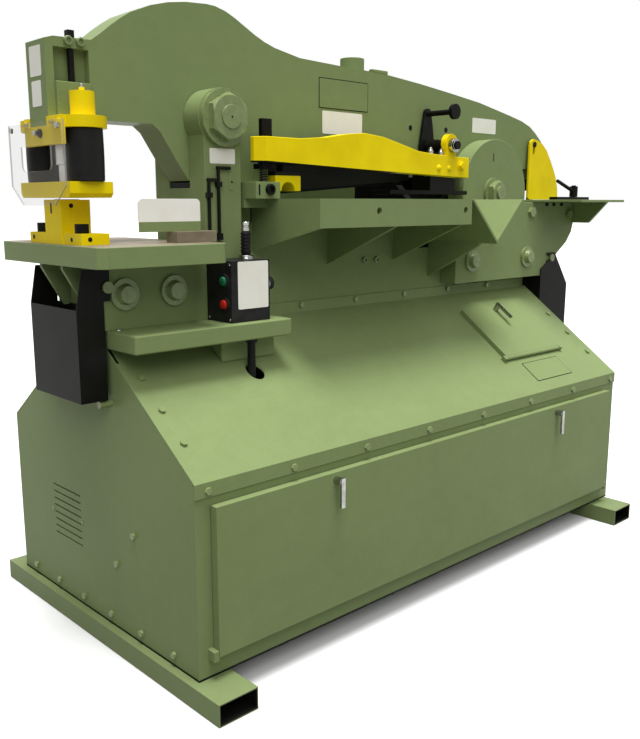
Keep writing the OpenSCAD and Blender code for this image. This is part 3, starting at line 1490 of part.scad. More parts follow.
module scrap_bucket() place() color(black) {
    difference() {
        both() sheet_xz(shaped(scrap_shares, scrap_x, scrap_l, scrap_z, scrap_top),
            -bucket_y - bucket_wall, -bucket_y);
        box(scrap_x - over, scrap_peg_x, -bucket_y * 2, bucket_y * 2, scrap_peg_z - peg_r - peg_c,
            scrap_peg_z + peg_r + peg_c);
        bar_y(scrap_peg_x, -bucket_y * 2, bucket_y * 2, scrap_peg_z, peg_r + peg_c);
    }
    box(scrap_x, scrap_x + bucket_wall, -bucket_y - bucket_wall, bucket_y + bucket_wall, scrap_z,
        scrap_z + scrap_in_h);
    box(scrap_x + scrap_l - bucket_wall * 2, scrap_x + scrap_l - bucket_wall, -bucket_y - bucket_wall,
        bucket_y + bucket_wall,
        scrap_z, scrap_z + scrap_wall_h);
    box(scrap_x, scrap_x + scrap_l - bucket_wall, -bucket_y - bucket_wall, bucket_y + bucket_wall, scrap_z,
        scrap_z + bucket_wall);
}

// Power pack in the front of the cabinet and the cylinder under the beam
motor_z = panel_z + motor_up;
module motor_pump() place() color(grey) {
    bar_x(motor_x, motor_x + motor_l, -motor_y, motor_z, motor_r);
    box(motor_x + motor_foot / 2, motor_x + motor_l - motor_foot / 2, -motor_y - motor_foot_t / 2,
        -motor_y + motor_foot_t / 2,
        panel_z, motor_z - motor_r / 2);
    bar_x(motor_x + motor_l, motor_x + motor_l + pump_l, -motor_y, motor_z, pump_r);
}
module reservoir() place() color(grey) difference() {
    box(tank_x, tank_x + tank_l, -tank_y0, -tank_y1, panel_z, panel_z + tank_h);
    box(tank_x + tank_wall, tank_x + tank_l - tank_wall, -tank_y0 + tank_wall, -tank_y1 - tank_wall,
        panel_z + tank_wall,
        panel_z + tank_h - tank_wall);
}
tank_top = panel_z + tank_h;
module line(z, port_z) {
    bar_x(valve_x + valve_l, cyl_x, -line_y, z, line_r);
    translate([cyl_x, -line_y, z]) sphere(r = line_r);
    bar_z(cyl_x, -line_y, min(z, port_z), max(z, port_z), line_r);
    translate([cyl_x, -line_y, port_z]) sphere(r = line_r);
    bar_y(cyl_x, -line_y, -barrel_r - port_l, port_z, line_r);
}
module valve_lines() place() color(grey) {
    box(valve_x, valve_x + valve_l, -valve_y, -valve_y + valve_w, tank_top, tank_top + valve_h);
    line(tank_top + line_up / 2, cyl_z + port_ups[0]);
    line(tank_top + line_up * 2 - line_r, cyl_z + port_ups[1]);
}
module cylinder_barrel() place() color(black) difference() {
    union() {
        bar_z(cyl_x, 0, cyl_z, cyl_z + barrel_l, barrel_r);
        bar_z(cyl_x, 0, cyl_z + barrel_l, cyl_z + barrel_l + gland_h, gland_r);
        for (up = port_ups) bar_y(cyl_x, -barrel_r - port_l, 0, cyl_z + up, port_r);
    }
    bar_z(cyl_x, 0, cyl_z + barrel_base, cyl_z + barrel_l, barrel_bore);
    bar_z(cyl_x, 0, cyl_z + barrel_l - over, cyl_z + barrel_l + gland_h + over, rod_r + run_c);
}
module cylinder_rod() place() color(steel) {
    bar_z(cyl_x, 0, cyl_z + piston_up, cyl_z + piston_up + piston_h, barrel_bore - run_c);
    bar_z(cyl_x, 0, cyl_z + piston_up, pin_z - eye_h + over, rod_r);
    difference() {
        box(cyl_x - eye_half, cyl_x + eye_half, -eye_t / 2, eye_t / 2, pin_z - eye_h, pin_z + eye_h);
        box(cyl_x - eye_slot, cyl_x, -eye_t, eye_t, pin_z - pin_r - eye_play, pin_z + pin_r + eye_play);
        for (x = [cyl_x - eye_slot, cyl_x]) bar_y(x, -eye_t, eye_t, pin_z, pin_r + eye_play);
    }
}

base_frame();
end_panels();
front_panel();
rear_covers();
front_slope_cover();
frame_bolts();
main_plate();
left_straps();
right_straps();
pivot_pin();
pivot_nuts();
punch_table();
die_holder();
die();
die_bolts();
stop_block();
sign_plate();
lower_shelf();
control_box();
conduit();
hex_keys();
shear_table();
v_trough();
fixed_blades();
hold_down_brackets();
hold_down_post();
lift_spring();
notcher_table();
notch_fence();
motor_pump();
reservoir();
valve_lines();
cylinder_barrel();
beam();
pivot_bush();
clevis_pin();
ram_block();
adjusting_screw();
moving_blades();
top_plate();
urethane_springs();
punch();
lifting_boss();
stripper();
clear_guard();
access_door();
left_latch();
right_latch();
slope_hatch();
hatch_latch();
hold_down_bar();
crank();
start_button();
stop_button();
control_stick();
notch_guard();
clamp_lever();
cylinder_rod();
slug_bucket();
scrap_bucket();
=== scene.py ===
import math

import bpy
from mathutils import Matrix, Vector


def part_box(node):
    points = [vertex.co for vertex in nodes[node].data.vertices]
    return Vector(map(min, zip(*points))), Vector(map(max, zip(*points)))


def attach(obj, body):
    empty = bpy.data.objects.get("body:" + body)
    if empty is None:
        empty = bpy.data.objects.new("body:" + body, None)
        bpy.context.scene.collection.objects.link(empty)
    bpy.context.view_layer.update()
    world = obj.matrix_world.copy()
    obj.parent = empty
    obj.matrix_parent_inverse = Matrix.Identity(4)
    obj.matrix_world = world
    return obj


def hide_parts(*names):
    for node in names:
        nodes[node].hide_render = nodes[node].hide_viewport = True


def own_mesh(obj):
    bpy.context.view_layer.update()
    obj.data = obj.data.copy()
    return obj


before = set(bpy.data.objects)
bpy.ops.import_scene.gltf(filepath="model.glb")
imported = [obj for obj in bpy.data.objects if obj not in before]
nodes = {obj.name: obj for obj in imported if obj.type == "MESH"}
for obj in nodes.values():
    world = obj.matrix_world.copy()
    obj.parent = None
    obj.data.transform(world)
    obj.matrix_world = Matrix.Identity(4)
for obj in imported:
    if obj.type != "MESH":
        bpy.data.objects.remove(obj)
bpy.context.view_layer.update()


# Camera: the machine is seen from its front left corner, from the height of the shear table.
# Places are read off the machine in millimetres: from the left end of the cabinet, from
# the middle plane of the beam and from the ground.
left_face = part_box("end_panels")[0].x
mid_plane = (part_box("beam")[0].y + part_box("beam")[1].y) / 2


def at(x, y, z):
    return Vector((left_face + x / 1000, mid_plane + y / 1000, z / 1000))


film_w, focal_l, sight = 36, 41.61, 60
eye_place, eye_tilt, eye_turn = (-938.8, -1774.4, 1043.0), 78.935, -43.341
eye = bpy.data.cameras.new("eye")
eye.sensor_width = film_w
eye.lens = focal_l
eye.clip_end = sight
camera = bpy.data.objects.new("eye", eye)
camera.location = at(*eye_place)
camera.rotation_euler = (math.radians(eye_tilt), 0, math.radians(eye_turn))
bpy.context.scene.collection.objects.link(camera)
bpy.context.scene.camera = camera


# Studio: a plain pale floor that runs to the horizon and a white surround, with one broad
# lamp overhead and a weaker one high in front on the left. Every finish is written as sums
# of the values that vary over a surface, starting from the place on it.
class Finish:
    def __init__(self, tree, socket):
        self.tree, self.socket = tree, socket

    def node(self, kind, settings=None, sockets=None, out=0):
        made = self.tree.nodes.new("ShaderNode" + kind)
        for key, value in (settings or {}).items():
            if key == "stops":
                for stop, (place, tint) in zip(made.color_ramp.elements, value):
                    stop.position, stop.color = place, (*tint, 1)
            else:
                setattr(made, key, value)
        for key, value in (sockets or {}).items():
            if isinstance(value, Finish):
                self.tree.links.new(value.socket, made.inputs[key])
            else:
                made.inputs[key].default_value = value
        return Finish(self.tree, made.outputs[out] if made.outputs else None)

    def sum(self, operation, first, second):
        return self.node("Math", {"operation": operation}, {0: first, 1: second})

    def __add__(self, other):
        return self.sum("ADD", self, other)

    def __sub__(self, other):
        return self.sum("SUBTRACT", self, other)

    def __rsub__(self, other):
        return self.sum("SUBTRACT", other, self)

    def __mul__(self, other):
        return self.sum("MULTIPLY", self, other)

    def __gt__(self, other):
        return self.sum("GREATER_THAN", self, other)

    def __lt__(self, other):
        return self.sum("LESS_THAN", self, other)

    __radd__ = __add__
    __rmul__ = __mul__


def seen_white(base):
    """One where a surface is looked at, mirrored or seen through, nought for its light."""
    seen = base.node("LightPath", out="Is Camera Ray")
    for ray in ("Is Glossy Ray", "Is Transmission Ray"):
        seen = seen.sum("MAXIMUM", seen, base.node("LightPath", out=ray))
    return seen


def finish(name, skin):
    made = bpy.data.materials.new(name)
    made.use_nodes = True
    made.node_tree.nodes.clear()
    start = made.node_tree.nodes.new("ShaderNodeTexCoord")
    place = Finish(made.node_tree, start.outputs["Object"])
    place.node("OutputMaterial", {}, {"Surface": skin(place)})
    return made


def floor_skin(place):
    pale = place.node("BsdfDiffuse", {}, {"Color": (0.82, 0.82, 0.82, 1)})
    dull = place.node("BsdfDiffuse", {}, {"Color": (0.19, 0.19, 0.18, 1)})
    return place.node("MixShader", {}, {0: seen_white(place), 1: dull, 2: pale})


floor_reach, floor_drop = 40, 0.0008
floor_corners = [(-floor_reach, -floor_reach, 0), (floor_reach, -floor_reach, 0),
                 (floor_reach, floor_reach, 0), (-floor_reach, floor_reach, 0)]
floor_mesh = bpy.data.meshes.new("studio_floor")
floor_mesh.from_pydata(floor_corners, [], [(0, 1, 2, 3)])
floor = bpy.data.objects.new("studio_floor", floor_mesh)
floor.location.z = -floor_drop
bpy.context.scene.collection.objects.link(floor)
floor_mesh.materials.append(finish("studio_floor", floor_skin))

world = bpy.data.worlds.new("studio")
bpy.context.scene.world = world
world.use_nodes = True
world.node_tree.nodes.clear()
sky = Finish(world.node_tree, None)
soft = sky.node("Background", {}, {"Color": (1, 1, 1, 1), "Strength": 0.28})
white = sky.node("Background", {}, {"Color": (1, 1, 1, 1), "Strength": 1.0})
surround = sky.node("MixShader", {}, {0: seen_white(sky), 1: soft, 2: white})
sky.node("OutputWorld", {}, {"Surface": surround})

lamps = {"key": ((-0.03, -0.10, 0.99), 4.05, 26), "fill": ((-0.38, -0.62, 0.68), 1.3, 45)}
for name, (toward, strength, angle) in lamps.items():
    lamp = bpy.data.lights.new(name, "SUN")
    lamp.energy = strength
    lamp.angle = math.radians(angle)
    lamp_object = bpy.data.objects.new(name, lamp)
    lamp_object.rotation_euler = Vector(toward).to_track_quat("Z", "Y").to_euler()
    bpy.context.scene.collection.objects.link(lamp_object)
bpy.context.scene.view_settings.view_transform = "Standard"


# Cabinet: folded sheet on two box section skids, welded up and sprayed in satin sage enamel with
# a fine orange peel; dirt gathers low down. The insides of the skids are painted black as painted shade.
# The left end has louvre slits with a black sheet behind them as painted shade and two screws, and a thin
# black strip under the panels is a painted shadow line.
def noise(place, scale, detail=4.0, roughness=0.5):
    return place.node("TexNoise", {}, {"Vector": place, "Scale": scale, "Detail": detail,
                                       "Roughness": roughness})


def ramp(value, low, low_tint, high, high_tint):
    return value.node("ValToRGB", {"stops": [(low, low_tint), (high, high_tint)]}, {0: value})


def mixed(factor, first, second):
    tints = [tint if isinstance(tint, Finish) else (*tint, 1) for tint in (first, second)]
    return factor.node("MixRGB", {}, {0: factor, 1: tints[0], 2: tints[1]})


def grain(height, strength, depth=0.0004):
    return height.node("Bump", {}, {"Height": height, "Strength": strength, "Distance": depth})


def across(place, letter):
    return place.node("SeparateXYZ", {}, {0: place}, out=letter)


def painted(place, tint, roughness, normal, metallic=0.0, shine=0.06):
    return place.node("BsdfPrincipled", {}, {"Base Color": tint, "Roughness": roughness, "Normal": normal,
                                             "Metallic": metallic, "Specular IOR Level": shine})


def either(part, elsewhere, there):
    """One finish everywhere but on a part of the piece, which has another."""
    return part.node("MixShader", {}, {0: part, 1: elsewhere, 2: there})


def green_skin(place):
    mottle, speckle = noise(place, 26.0, 5.0), noise(place, 330.0, 2.0)
    shade = noise(place, 2.3) * 0.35 + mottle * 0.25 + speckle * 0.4
    clean = ramp(shade, 0.30, (0.184, 0.240, 0.098), 0.70, (0.233, 0.301, 0.128))
    low = place.node("MapRange", {}, {0: across(place, "Z"), 1: 0.55, 2: 0.0, 3: 0.0, 4: 0.45})
    grime = low * noise(place, 7.0, 6.0, 0.65)
    tint = mixed(grime, clean, (0.085, 0.092, 0.050))
    return painted(place, tint, 0.34 + mottle * 0.16, grain(speckle, 0.12))


def black_skin(place):
    drift = noise(place, 14.0, 5.0)
    tint = ramp(drift, 0.3, (0.004, 0.004, 0.003), 0.75, (0.011, 0.011, 0.009))
    return painted(place, tint, 0.34 + drift * 0.2, grain(noise(place, 800.0, 2.0), 0.08), shine=0.06)


skid_left_x, skid_right_x, skid_w, skid_h, half_wall = -20, 1589, 102, 51, 2.5


# The inner faces of the skid tubes are painted black: painted shade for their dark insides; the rest is the
# green enamel.
def skid_skin_with_painted_shade(place):
    along, height = across(place, "X"), across(place, "Z")
    between = (height > at(0, 0, half_wall).z) * (height < at(0, 0, skid_h - half_wall).z)
    left, right = [(along > at(x + half_wall, 0, 0).x) * (along < at(x + skid_w - half_wall, 0, 0).x)
                   for x in (skid_left_x, skid_right_x)]
    return either((left + right) * between, green_skin(place), black_skin(place))


def bolt_skin(place):
    drift = noise(place, 60.0, 4.0)
    tint = ramp(drift, 0.3, (0.180, 0.232, 0.090), 0.7, (0.230, 0.292, 0.118))
    return painted(place, tint, 0.20 + drift * 0.15, grain(noise(place, 400.0, 2.0), 0.05), shine=0.3)


green_enamel = finish("green_enamel", green_skin)
bolt_enamel = finish("bolt_enamel", bolt_skin)
black_enamel = finish("black_enamel", black_skin)
crease, flatness = math.radians(32), math.radians(0.4)


def coat(name, paint, edge):
    """Paints a node of the frame and eases its sharp edges by edge millimetres."""
    nodes[name].data.materials.clear()
    nodes[name].data.materials.append(paint)
    weld = nodes[name].modifiers.new("weld", "WELD")
    weld.merge_threshold = 0.00001
    flat = nodes[name].modifiers.new("flat_faces", "DECIMATE")
    flat.decimate_type = "DISSOLVE"
    flat.angle_limit = flatness
    soften(nodes[name], edge)


def soften(thing, edge):
    eased = thing.modifiers.new("eased_edges", "BEVEL")
    eased.width = edge / 1000
    eased.segments = 3
    eased.limit_method = "ANGLE"
    eased.angle_limit = crease
    eased.use_clamp_overlap = True
    eased.face_strength_mode = "FSTR_AFFECTED"
    shaded = thing.modifiers.new("even_faces", "WEIGHTED_NORMAL")
    shaded.weight = 100
    shaded.use_face_influence = True


def turned(profile, foot, toward, steps=32):
    """A turned form: radius and height pairs in millimetres, standing on foot."""
    lean = Vector(toward).to_track_quat("Z", "Y").to_matrix()
    points, sides = [], []
    for radius, height in profile:
        for k in range(steps):
            angle = 2 * math.pi * k / steps
            spoke = Vector((radius * math.cos(angle), radius * math.sin(angle), height))
            points.append(at(*foot) + lean @ spoke / 1000)
    for ring in range(len(profile) - 1):
        for k in range(steps):
            here, next_one = ring * steps + k, ring * steps + (k + 1) % steps
            sides.append((here, next_one, next_one + steps, here + steps))
    sides.append(tuple(reversed(range(steps))))
    sides.append(tuple(range(len(points) - steps, len(points))))
    return points, sides


def slab(outline, thick, corner, right, up):
    """A flat form: an outline in millimetres from corner, as thick as given towards its front."""
    right, up = Vector(right).normalized(), Vector(up).normalized()
    out = right.cross(up) * thick / 1000
    base = [at(*corner) + (right * a + up * b) / 1000 for a, b in outline]
    count = len(base)
    sides = [tuple(reversed(range(count))), tuple(range(count, 2 * count))]
    sides += [(k, (k + 1) % count, count + (k + 1) % count, count + k) for k in range(count)]
    return base + [point + out for point in base], sides


def rounded(width, height, radius, steps=5):
    outline = []
    for a, b, first in ((width - radius, radius, -90), (width - radius, height - radius, 0),
                        (radius, height - radius, 90), (radius, radius, 180)):
        for k in range(steps + 1):
            angle = math.radians(first + 90 * k / steps)
            outline.append((a + radius * math.cos(angle), b + radius * math.sin(angle)))
    return outline


def fit(name, forms, paint, body, edge=0.0):
    """Makes one piece of the forms, paints it and fixes it to a body."""
    points, sides = [], []
    for form_points, form_sides in forms:
        first = len(points)
        points += form_points
        sides += [tuple(first + k for k in side) for side in form_sides]
    mesh = bpy.data.meshes.new(name)
    mesh.from_pydata(points, [], sides)
    mesh.shade_smooth()
    mesh.set_sharp_from_angle(angle=crease)
    mesh.materials.append(paint)
    made = bpy.data.objects.new(name, mesh)
    bpy.context.scene.collection.objects.link(made)
    if edge:
        soften(made, edge)
    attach(made, body)
    return made


def dome_head(foot, toward, radius, height):
    return turned([(radius, 0), (radius * 0.97, height * 0.35), (radius * 0.8, height * 0.7),
                   (radius * 0.5, height * 0.92), (radius * 0.08, height)], foot, toward)


for name in ("end_panels", "front_panel", "rear_covers", "front_slope_cover"):
    coat(name, green_enamel, 1.2)
coat("base_frame", finish("skid_paint_with_painted_shade", skid_skin_with_painted_shade), 1.2)

leftward, rightward, frontward, rearward, upward = (-1, 0, 0), (1, 0, 0), (0, -1, 0), (0, 1, 0), (0, 0, 1)
# A black sheet behind the louvre slits: painted shade that stands in for the dark inside of the cabinet.
louvre_shade_w, louvre_shade_h, louvre_shade_t, louvre_shade_corner = 152, 146, 1.5, (6.8, 221, 200)
fit("louvre_painted_shade_sheet", [slab(rounded(louvre_shade_w, louvre_shade_h, 4), louvre_shade_t, louvre_shade_corner, frontward, upward)],
    black_enamel, "frame")

# Thin black strips along the foot of the panels: a painted shadow line in the seam over the skids.
cabinet_l, half_deep, shadow_strip_z, shadow_strip_h, shadow_strip_t = 1700, 410, 51.4, 4.2, 0.9
shadow_strip_runs = [(2 * half_deep, (0, half_deep, shadow_strip_z), frontward),
             (cabinet_l, (0, -half_deep, shadow_strip_z), rightward),
             (2 * half_deep, (cabinet_l, -half_deep, shadow_strip_z), rearward),
             (cabinet_l, (cabinet_l, half_deep, shadow_strip_z), leftward)]
fit("base_painted_shadow_strips", [slab(rounded(run, shadow_strip_h, 1), shadow_strip_t, corner, along, upward)
                   for run, corner, along in shadow_strip_runs], black_enamel, "frame")

louvre_screw_r, louvre_screw_h = 6, 3
fit("louvre_screws", [dome_head((0, y, z), leftward, louvre_screw_r, louvre_screw_h)
                      for y, z in ((222, 270), (69, 272))], bolt_enamel, "frame")


# Door and hatch: panels of folded sheet in the same enamel that hang on the cabinet. Each
# latch is a chromed lever. A blank outlined plate is stuck on the slope in front, and its
# cover has a short slot at the top of the left edge.
def chrome_skin(place):
    smear = noise(place, 60.0, 5.0)
    tint = ramp(smear, 0.3, (0.26, 0.26, 0.25), 0.7, (0.44, 0.44, 0.42))
    return painted(place, tint, 0.12 + smear * 0.18, grain(noise(place, 300.0, 2.0), 0.02), 1.0)


def plate_skin(place):
    yellowing = noise(place, 12.0, 4.0)
    tint = ramp(yellowing, 0.3, (0.86, 0.84, 0.74), 0.7, (0.93, 0.92, 0.86))
    return painted(place, tint, 0.32 + yellowing * 0.15, grain(noise(place, 260.0, 2.0), 0.03))


chrome = finish("latch_chrome", chrome_skin)
blank_white = finish("blank_plate", plate_skin)
for name in ("access_door", "slope_hatch"):
    coat(name, green_enamel, 1.2)
for name in ("left_latch", "right_latch", "hatch_latch"):
    coat(name, chrome, 0.8)

plate_t, rim = 0.6, 2.2


def outlined(name, width, height, corner, up, body):
    """A blank green plate with a thin dark outline: a dark sheet with a smaller green one on it."""
    inset = Vector(corner) + rim * (Vector(rightward) + Vector(up))
    dark, plain = rounded(width, height, 3), rounded(width - 2 * rim, height - 2 * rim, 2)
    fit(name + "_edge", [slab(dark, plate_t, corner, rightward, up)], black_enamel, body)
    fit(name + "_face", [slab(plain, plate_t * 2, inset, rightward, up)], green_enamel, body)


slope_foot_y, slope_foot_z, slope_turn = -410, 488, math.radians(35.9)
slope_up = Vector((0, math.cos(slope_turn), math.sin(slope_turn)))


def on_slope(x, rise):
    return Vector((x, slope_foot_y, slope_foot_z)) + rise * slope_up


outlined("slope_plate", 194, 78, on_slope(1290, 36), slope_up, "frame")
slot_w, slot_l, slot_corner = 6, 46, on_slope(3, 352)
fit("slope_slot", [slab(rounded(slot_w, slot_l, 2.5), plate_t, slot_corner, rightward, slope_up)],
    black_enamel, "frame")


# Frame: the thick middle plate stands in the cabinet between flame cut straps held by through
# bolts; the beam hangs on one large nutted pin in a bronze bush, over a black pad on the plate.
# The left strap has a blank plate, and a pressed oval with a hole.
def bronze_skin(place):
    blotch = noise(place, 40.0, 5.0)
    tint = ramp(blotch, 0.3, (0.40, 0.24, 0.08), 0.7, (0.55, 0.36, 0.14))
    return painted(place, tint, 0.25 + blotch * 0.2, grain(noise(place, 400.0, 2.0), 0.04), 1.0)


def cap_head(foot, toward, radius, height):
    """A socket head screw: a short drum with a bevelled rim and a hollow key seat."""
    return turned([(radius, 0), (radius, height - 1), (radius - 1, height), (radius * 0.58, height),
                   (radius * 0.52, height * 0.4), (radius * 0.05, height * 0.35)], foot, toward)


def dimple(foot, toward, radius, lip, middle):
    """The dark mouth of a small hole: a thin disc that is hollow in the middle."""
    return turned([(radius, 0), (radius, 0.4), (radius - lip, 0.6), (middle, 0.2)], foot, toward)


for name in ("main_plate", "left_straps", "right_straps"):
    coat(name, green_enamel, 2.0)
for name in ("frame_bolts", "pivot_nuts", "pivot_pin"):
    coat(name, bolt_enamel, 1.5)
coat("pivot_bush", finish("bush_bronze", bronze_skin), 0.5)

strap_y, plate_y = -104, -44
strap_plate_w, strap_plate_h, strap_plate_corner = 74, 35, (283, strap_y, 1133)
fit("strap_plate", [slab(rounded(strap_plate_w, strap_plate_h, 3), plate_t, strap_plate_corner, rightward,
                         upward)], blank_white, "frame")
oval_w, oval_h, oval_r, oval_t, oval_corner = 18, 46, 8.5, 1.2, (336, strap_y, 1071)
fit("strap_oval", [slab(rounded(oval_w, oval_h, oval_r), oval_t, oval_corner, rightward, upward)],
    green_enamel, "frame", 0.6)
oval_hole, oval_hole_place = [(2.6, 0), (2.6, 1.6), (2, 1.8), (0.3, 1.3)], (346, strap_y, 1091)
fit("strap_hole", [turned(oval_hole, oval_hole_place, frontward)], black_enamel, "frame")
pin_end = (322, -143, 1238)
fit("pin_centre", [dimple(pin_end, frontward, 2.6, 0.6, 0.3)], black_enamel, "frame")
plate_screw_r, plate_screw_h = 9, 8
fit("plate_screws", [cap_head((x, plate_y, z), frontward, plate_screw_r, plate_screw_h)
                     for x, z in ((870, 879), (920, 878), (1210, 906))], bolt_enamel, "frame")
pad_l, pad_h, pad_t, pad_corner = 84, 12.5, 4, (274, 42, 1077.3)
fit("beam_rest_pad", [slab(rounded(pad_l, pad_h, 1.5), pad_t, pad_corner, frontward, upward)],
    black_enamel, "frame")
slit_w, slit_h, slit_t, slit_corner = 4, 26, 0.4, (1402.5, strap_y, 1172)
fit("hump_slit", [slab(rounded(slit_w, slit_h, 1.9), slit_t, slit_corner, rightward, upward)],
    black_enamel, "frame")


# Punch table: a thick steel plate on two welded gussets, green on its edges and worn bare on
# top. The yellow die holder is bolted to it and carries the die; beside it a steel stop
# carries a blank sign.
def steel_skin(place):
    stretched = place.node("Mapping", {}, {"Vector": place, "Scale": (14.0, 160.0, 160.0)})
    scratches = noise(stretched, 4.0, 6.0)
    blotch = noise(place, 18.0, 5.0)
    tint = ramp(scratches * 0.5 + blotch * 0.5, 0.3, (0.34, 0.33, 0.30), 0.7, (0.56, 0.55, 0.52))
    return painted(place, tint, 0.28 + blotch * 0.22, grain(scratches, 0.08, 0.0003), 1.0)


def worn_skin(place):
    blotch = noise(place, 11.0, 6.0, 0.6)
    tint = ramp(blotch, 0.3, (0.17, 0.14, 0.09), 0.7, (0.31, 0.27, 0.20))
    return painted(place, tint, 0.38 + blotch * 0.2, grain(noise(place, 90.0, 5.0), 0.1, 0.0003), 0.15, 0.1)


def table_skin(place):
    top = across(place.node("NewGeometry", out="Normal"), "Z") > 0.9
    return either(top, green_skin(place), worn_skin(place))


def yellow_skin(place):
    scuff = noise(place, 70.0, 6.0, 0.7)
    rubbed = ramp(scuff, 0.66, (0, 0, 0), 0.74, (1, 1, 1))
    clean = ramp(noise(place, 9.0, 5.0), 0.3, (0.80, 0.61, 0.002), 0.7, (0.96, 0.75, 0.004))
    tint = mixed(rubbed * 0.35, clean, (0.22, 0.18, 0.05))
    return painted(place, tint, 0.36 + scuff * 0.2, grain(noise(place, 700.0, 2.0), 0.06), shine=0.10)


sign_foot_z = 1001


def sign_skin(place):
    white_part = across(place, "Z") > at(0, 0, sign_foot_z).z
    return either(white_part, green_skin(place), plate_skin(place))


bare_steel = finish("bare_steel", steel_skin)
safety_yellow = finish("safety_yellow", yellow_skin)
coat("punch_table", finish("worn_table", table_skin), 4.0)
coat("die_holder", safety_yellow, 1.5)
coat("die_bolts", black_enamel, 0.8)
coat("die", bare_steel, 0.8)
coat("stop_block", finish("worn_stop", worn_skin), 1.0)
coat("sign_plate", finish("sign_blank", sign_skin), 0.4)
set_screws = [dimple(foot, toward, 5, 1, 0.5)
              for foot, toward in (((-40, -38, 1036), frontward), ((-43, -120, 966), frontward),
                                   ((-63, -77, 965), leftward), ((-63, 101, 967), leftward))]
key_slot_w, key_slot_h, key_slot_t, key_slot_corner = 7, 24, 0.4, (-65, 9, 1019)
set_screws.append(slab(rounded(key_slot_w, key_slot_h, 3.4), key_slot_t, key_slot_corner, frontward, upward))
fit("holder_set_screws", set_screws, black_enamel, "frame")
gusset_l, gusset_h, gusset_toe, gusset_lip, gusset_t = 66, 96, 16, 8, 10
gusset_x, gusset_z = -76, 909.8
gusset = [(gusset_l, -gusset_h), (gusset_l, 0), (0, 0), (0, -gusset_lip), (gusset_l - gusset_toe, -gusset_h)]
fit("table_gussets", [slab(gusset, gusset_t, (gusset_x, y, gusset_z), rightward, upward) for y in (54, -44)],
    green_enamel, "frame", 1.0)


# Controls: a black moulded box stands on the lower shelf with a domed start and stop
# button, a blank panel, and a stick in a ribbed boot. A ribbed conduit drops from the
# shelf through the slope, and two hex keys hang in clips on the strap above.
def plastic_skin(low, high, scale=30.0):
    def skin(place):
        drift = noise(place, scale, 4.0)
        tint = ramp(drift, 0.3, low, 0.7, high)
        return painted(place, tint, 0.30 + drift * 0.2, grain(noise(place, 900.0, 2.0), 0.10))
    return skin


coat("lower_shelf", green_enamel, 4.0)
coat("control_box", finish("box_plastic", plastic_skin((0.012, 0.012, 0.012), (0.024, 0.024, 0.023))), 1.5)
coat("hex_keys", black_enamel, 0.6)
shelf_screw_r, shelf_screw_h, shelf_screw_place = 5, 4, (18, -114, 766)
fit("shelf_screw", [dome_head(shelf_screw_place, upward, shelf_screw_r, shelf_screw_h)], chrome, "frame")
panel_w, panel_h, panel_corner = 91, 111, (285, -200, 797)
fit("control_panel", [slab(rounded(panel_w, panel_h, 4), plate_t, panel_corner, rightward, upward)],
    blank_white, "frame")
box_side_x, box_screw_r, box_screw_h = 266, 4, 2
fit("box_screws", [dome_head((box_side_x, y, z), leftward, box_screw_r, box_screw_h)
                   for y in (-193, -112) for z in (774, 902)], chrome, "frame")

button_plastics = (("start_button", ((0.010, 0.11, 0.045), (0.016, 0.15, 0.065)), "green_plastic"),
                   ("stop_button", ((0.40, 0.014, 0.008), (0.52, 0.024, 0.014)), "red_plastic"))
for name, tint, slot in button_plastics:
    low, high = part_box(name)
    foot = ((high.x - left_face) * 1000, ((low.y + high.y) / 2 - mid_plane) * 1000, (low.z + high.z) * 500)
    reach = (high.x - low.x) * 1000
    radius = (high.z - low.z) * 500
    crown = [(radius, 0), (radius, reach * 0.55), (radius * 0.94, reach * 0.8), (radius * 0.75, reach * 0.95),
             (radius * 0.4, reach), (radius * 0.05, reach)]
    plastic = finish(name + "_plastic", plastic_skin(*tint))
    dome = fit(name + "_dome", [turned(crown, foot, leftward)], plastic, name)
    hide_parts(name)

stick_x, stick_y, collar_z, boot_z, tip_z = 346, -155, 910, 914, 976
collar = [(19, 0), (19, 3), (17.5, 4), (17.5, 8), (16.6, 9.5), (16.2, 9.5), (16.2, 0.5)]
fit("stick_collar", [turned(collar, (stick_x, stick_y, collar_z), upward)], chrome, "frame")
rib_r, groove_r, rib_pitch, ribs = 12.5, 10.6, 8, 6
boot = [(6, 0), (9, 3), (11, 9)]
for k in range(ribs):
    rib_z = 14 + k * rib_pitch
    boot += [(rib_r, rib_z), (rib_r, rib_z + 4), (groove_r, rib_z + 5.5), (groove_r, rib_z + 7)]
boot_rubber = finish("boot_rubber", plastic_skin((0.008, 0.008, 0.008), (0.018, 0.018, 0.017)))
boot_piece = fit("stick_boot", [turned(boot, (stick_x, stick_y, boot_z), upward)], boot_rubber, "stick")
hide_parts("control_stick")
tip = [(8, 0), (11, 0.8), (11, 9), (9.2, 10), (9.2, 12.5), (11, 13.5), (11, 20), (9.5, 22), (0.8, 22.3)]
fit("stick_tip", [turned(tip, (stick_x, stick_y, tip_z), upward)], chrome, "stick")
gland, gland_place = [(17.5, 0), (17.5, 5), (16.5, 6), (16.1, 6), (16.1, 0.5)], (392, -165, 850)
fit("gland_ring", [turned(gland, gland_place, rightward)], chrome, "frame")

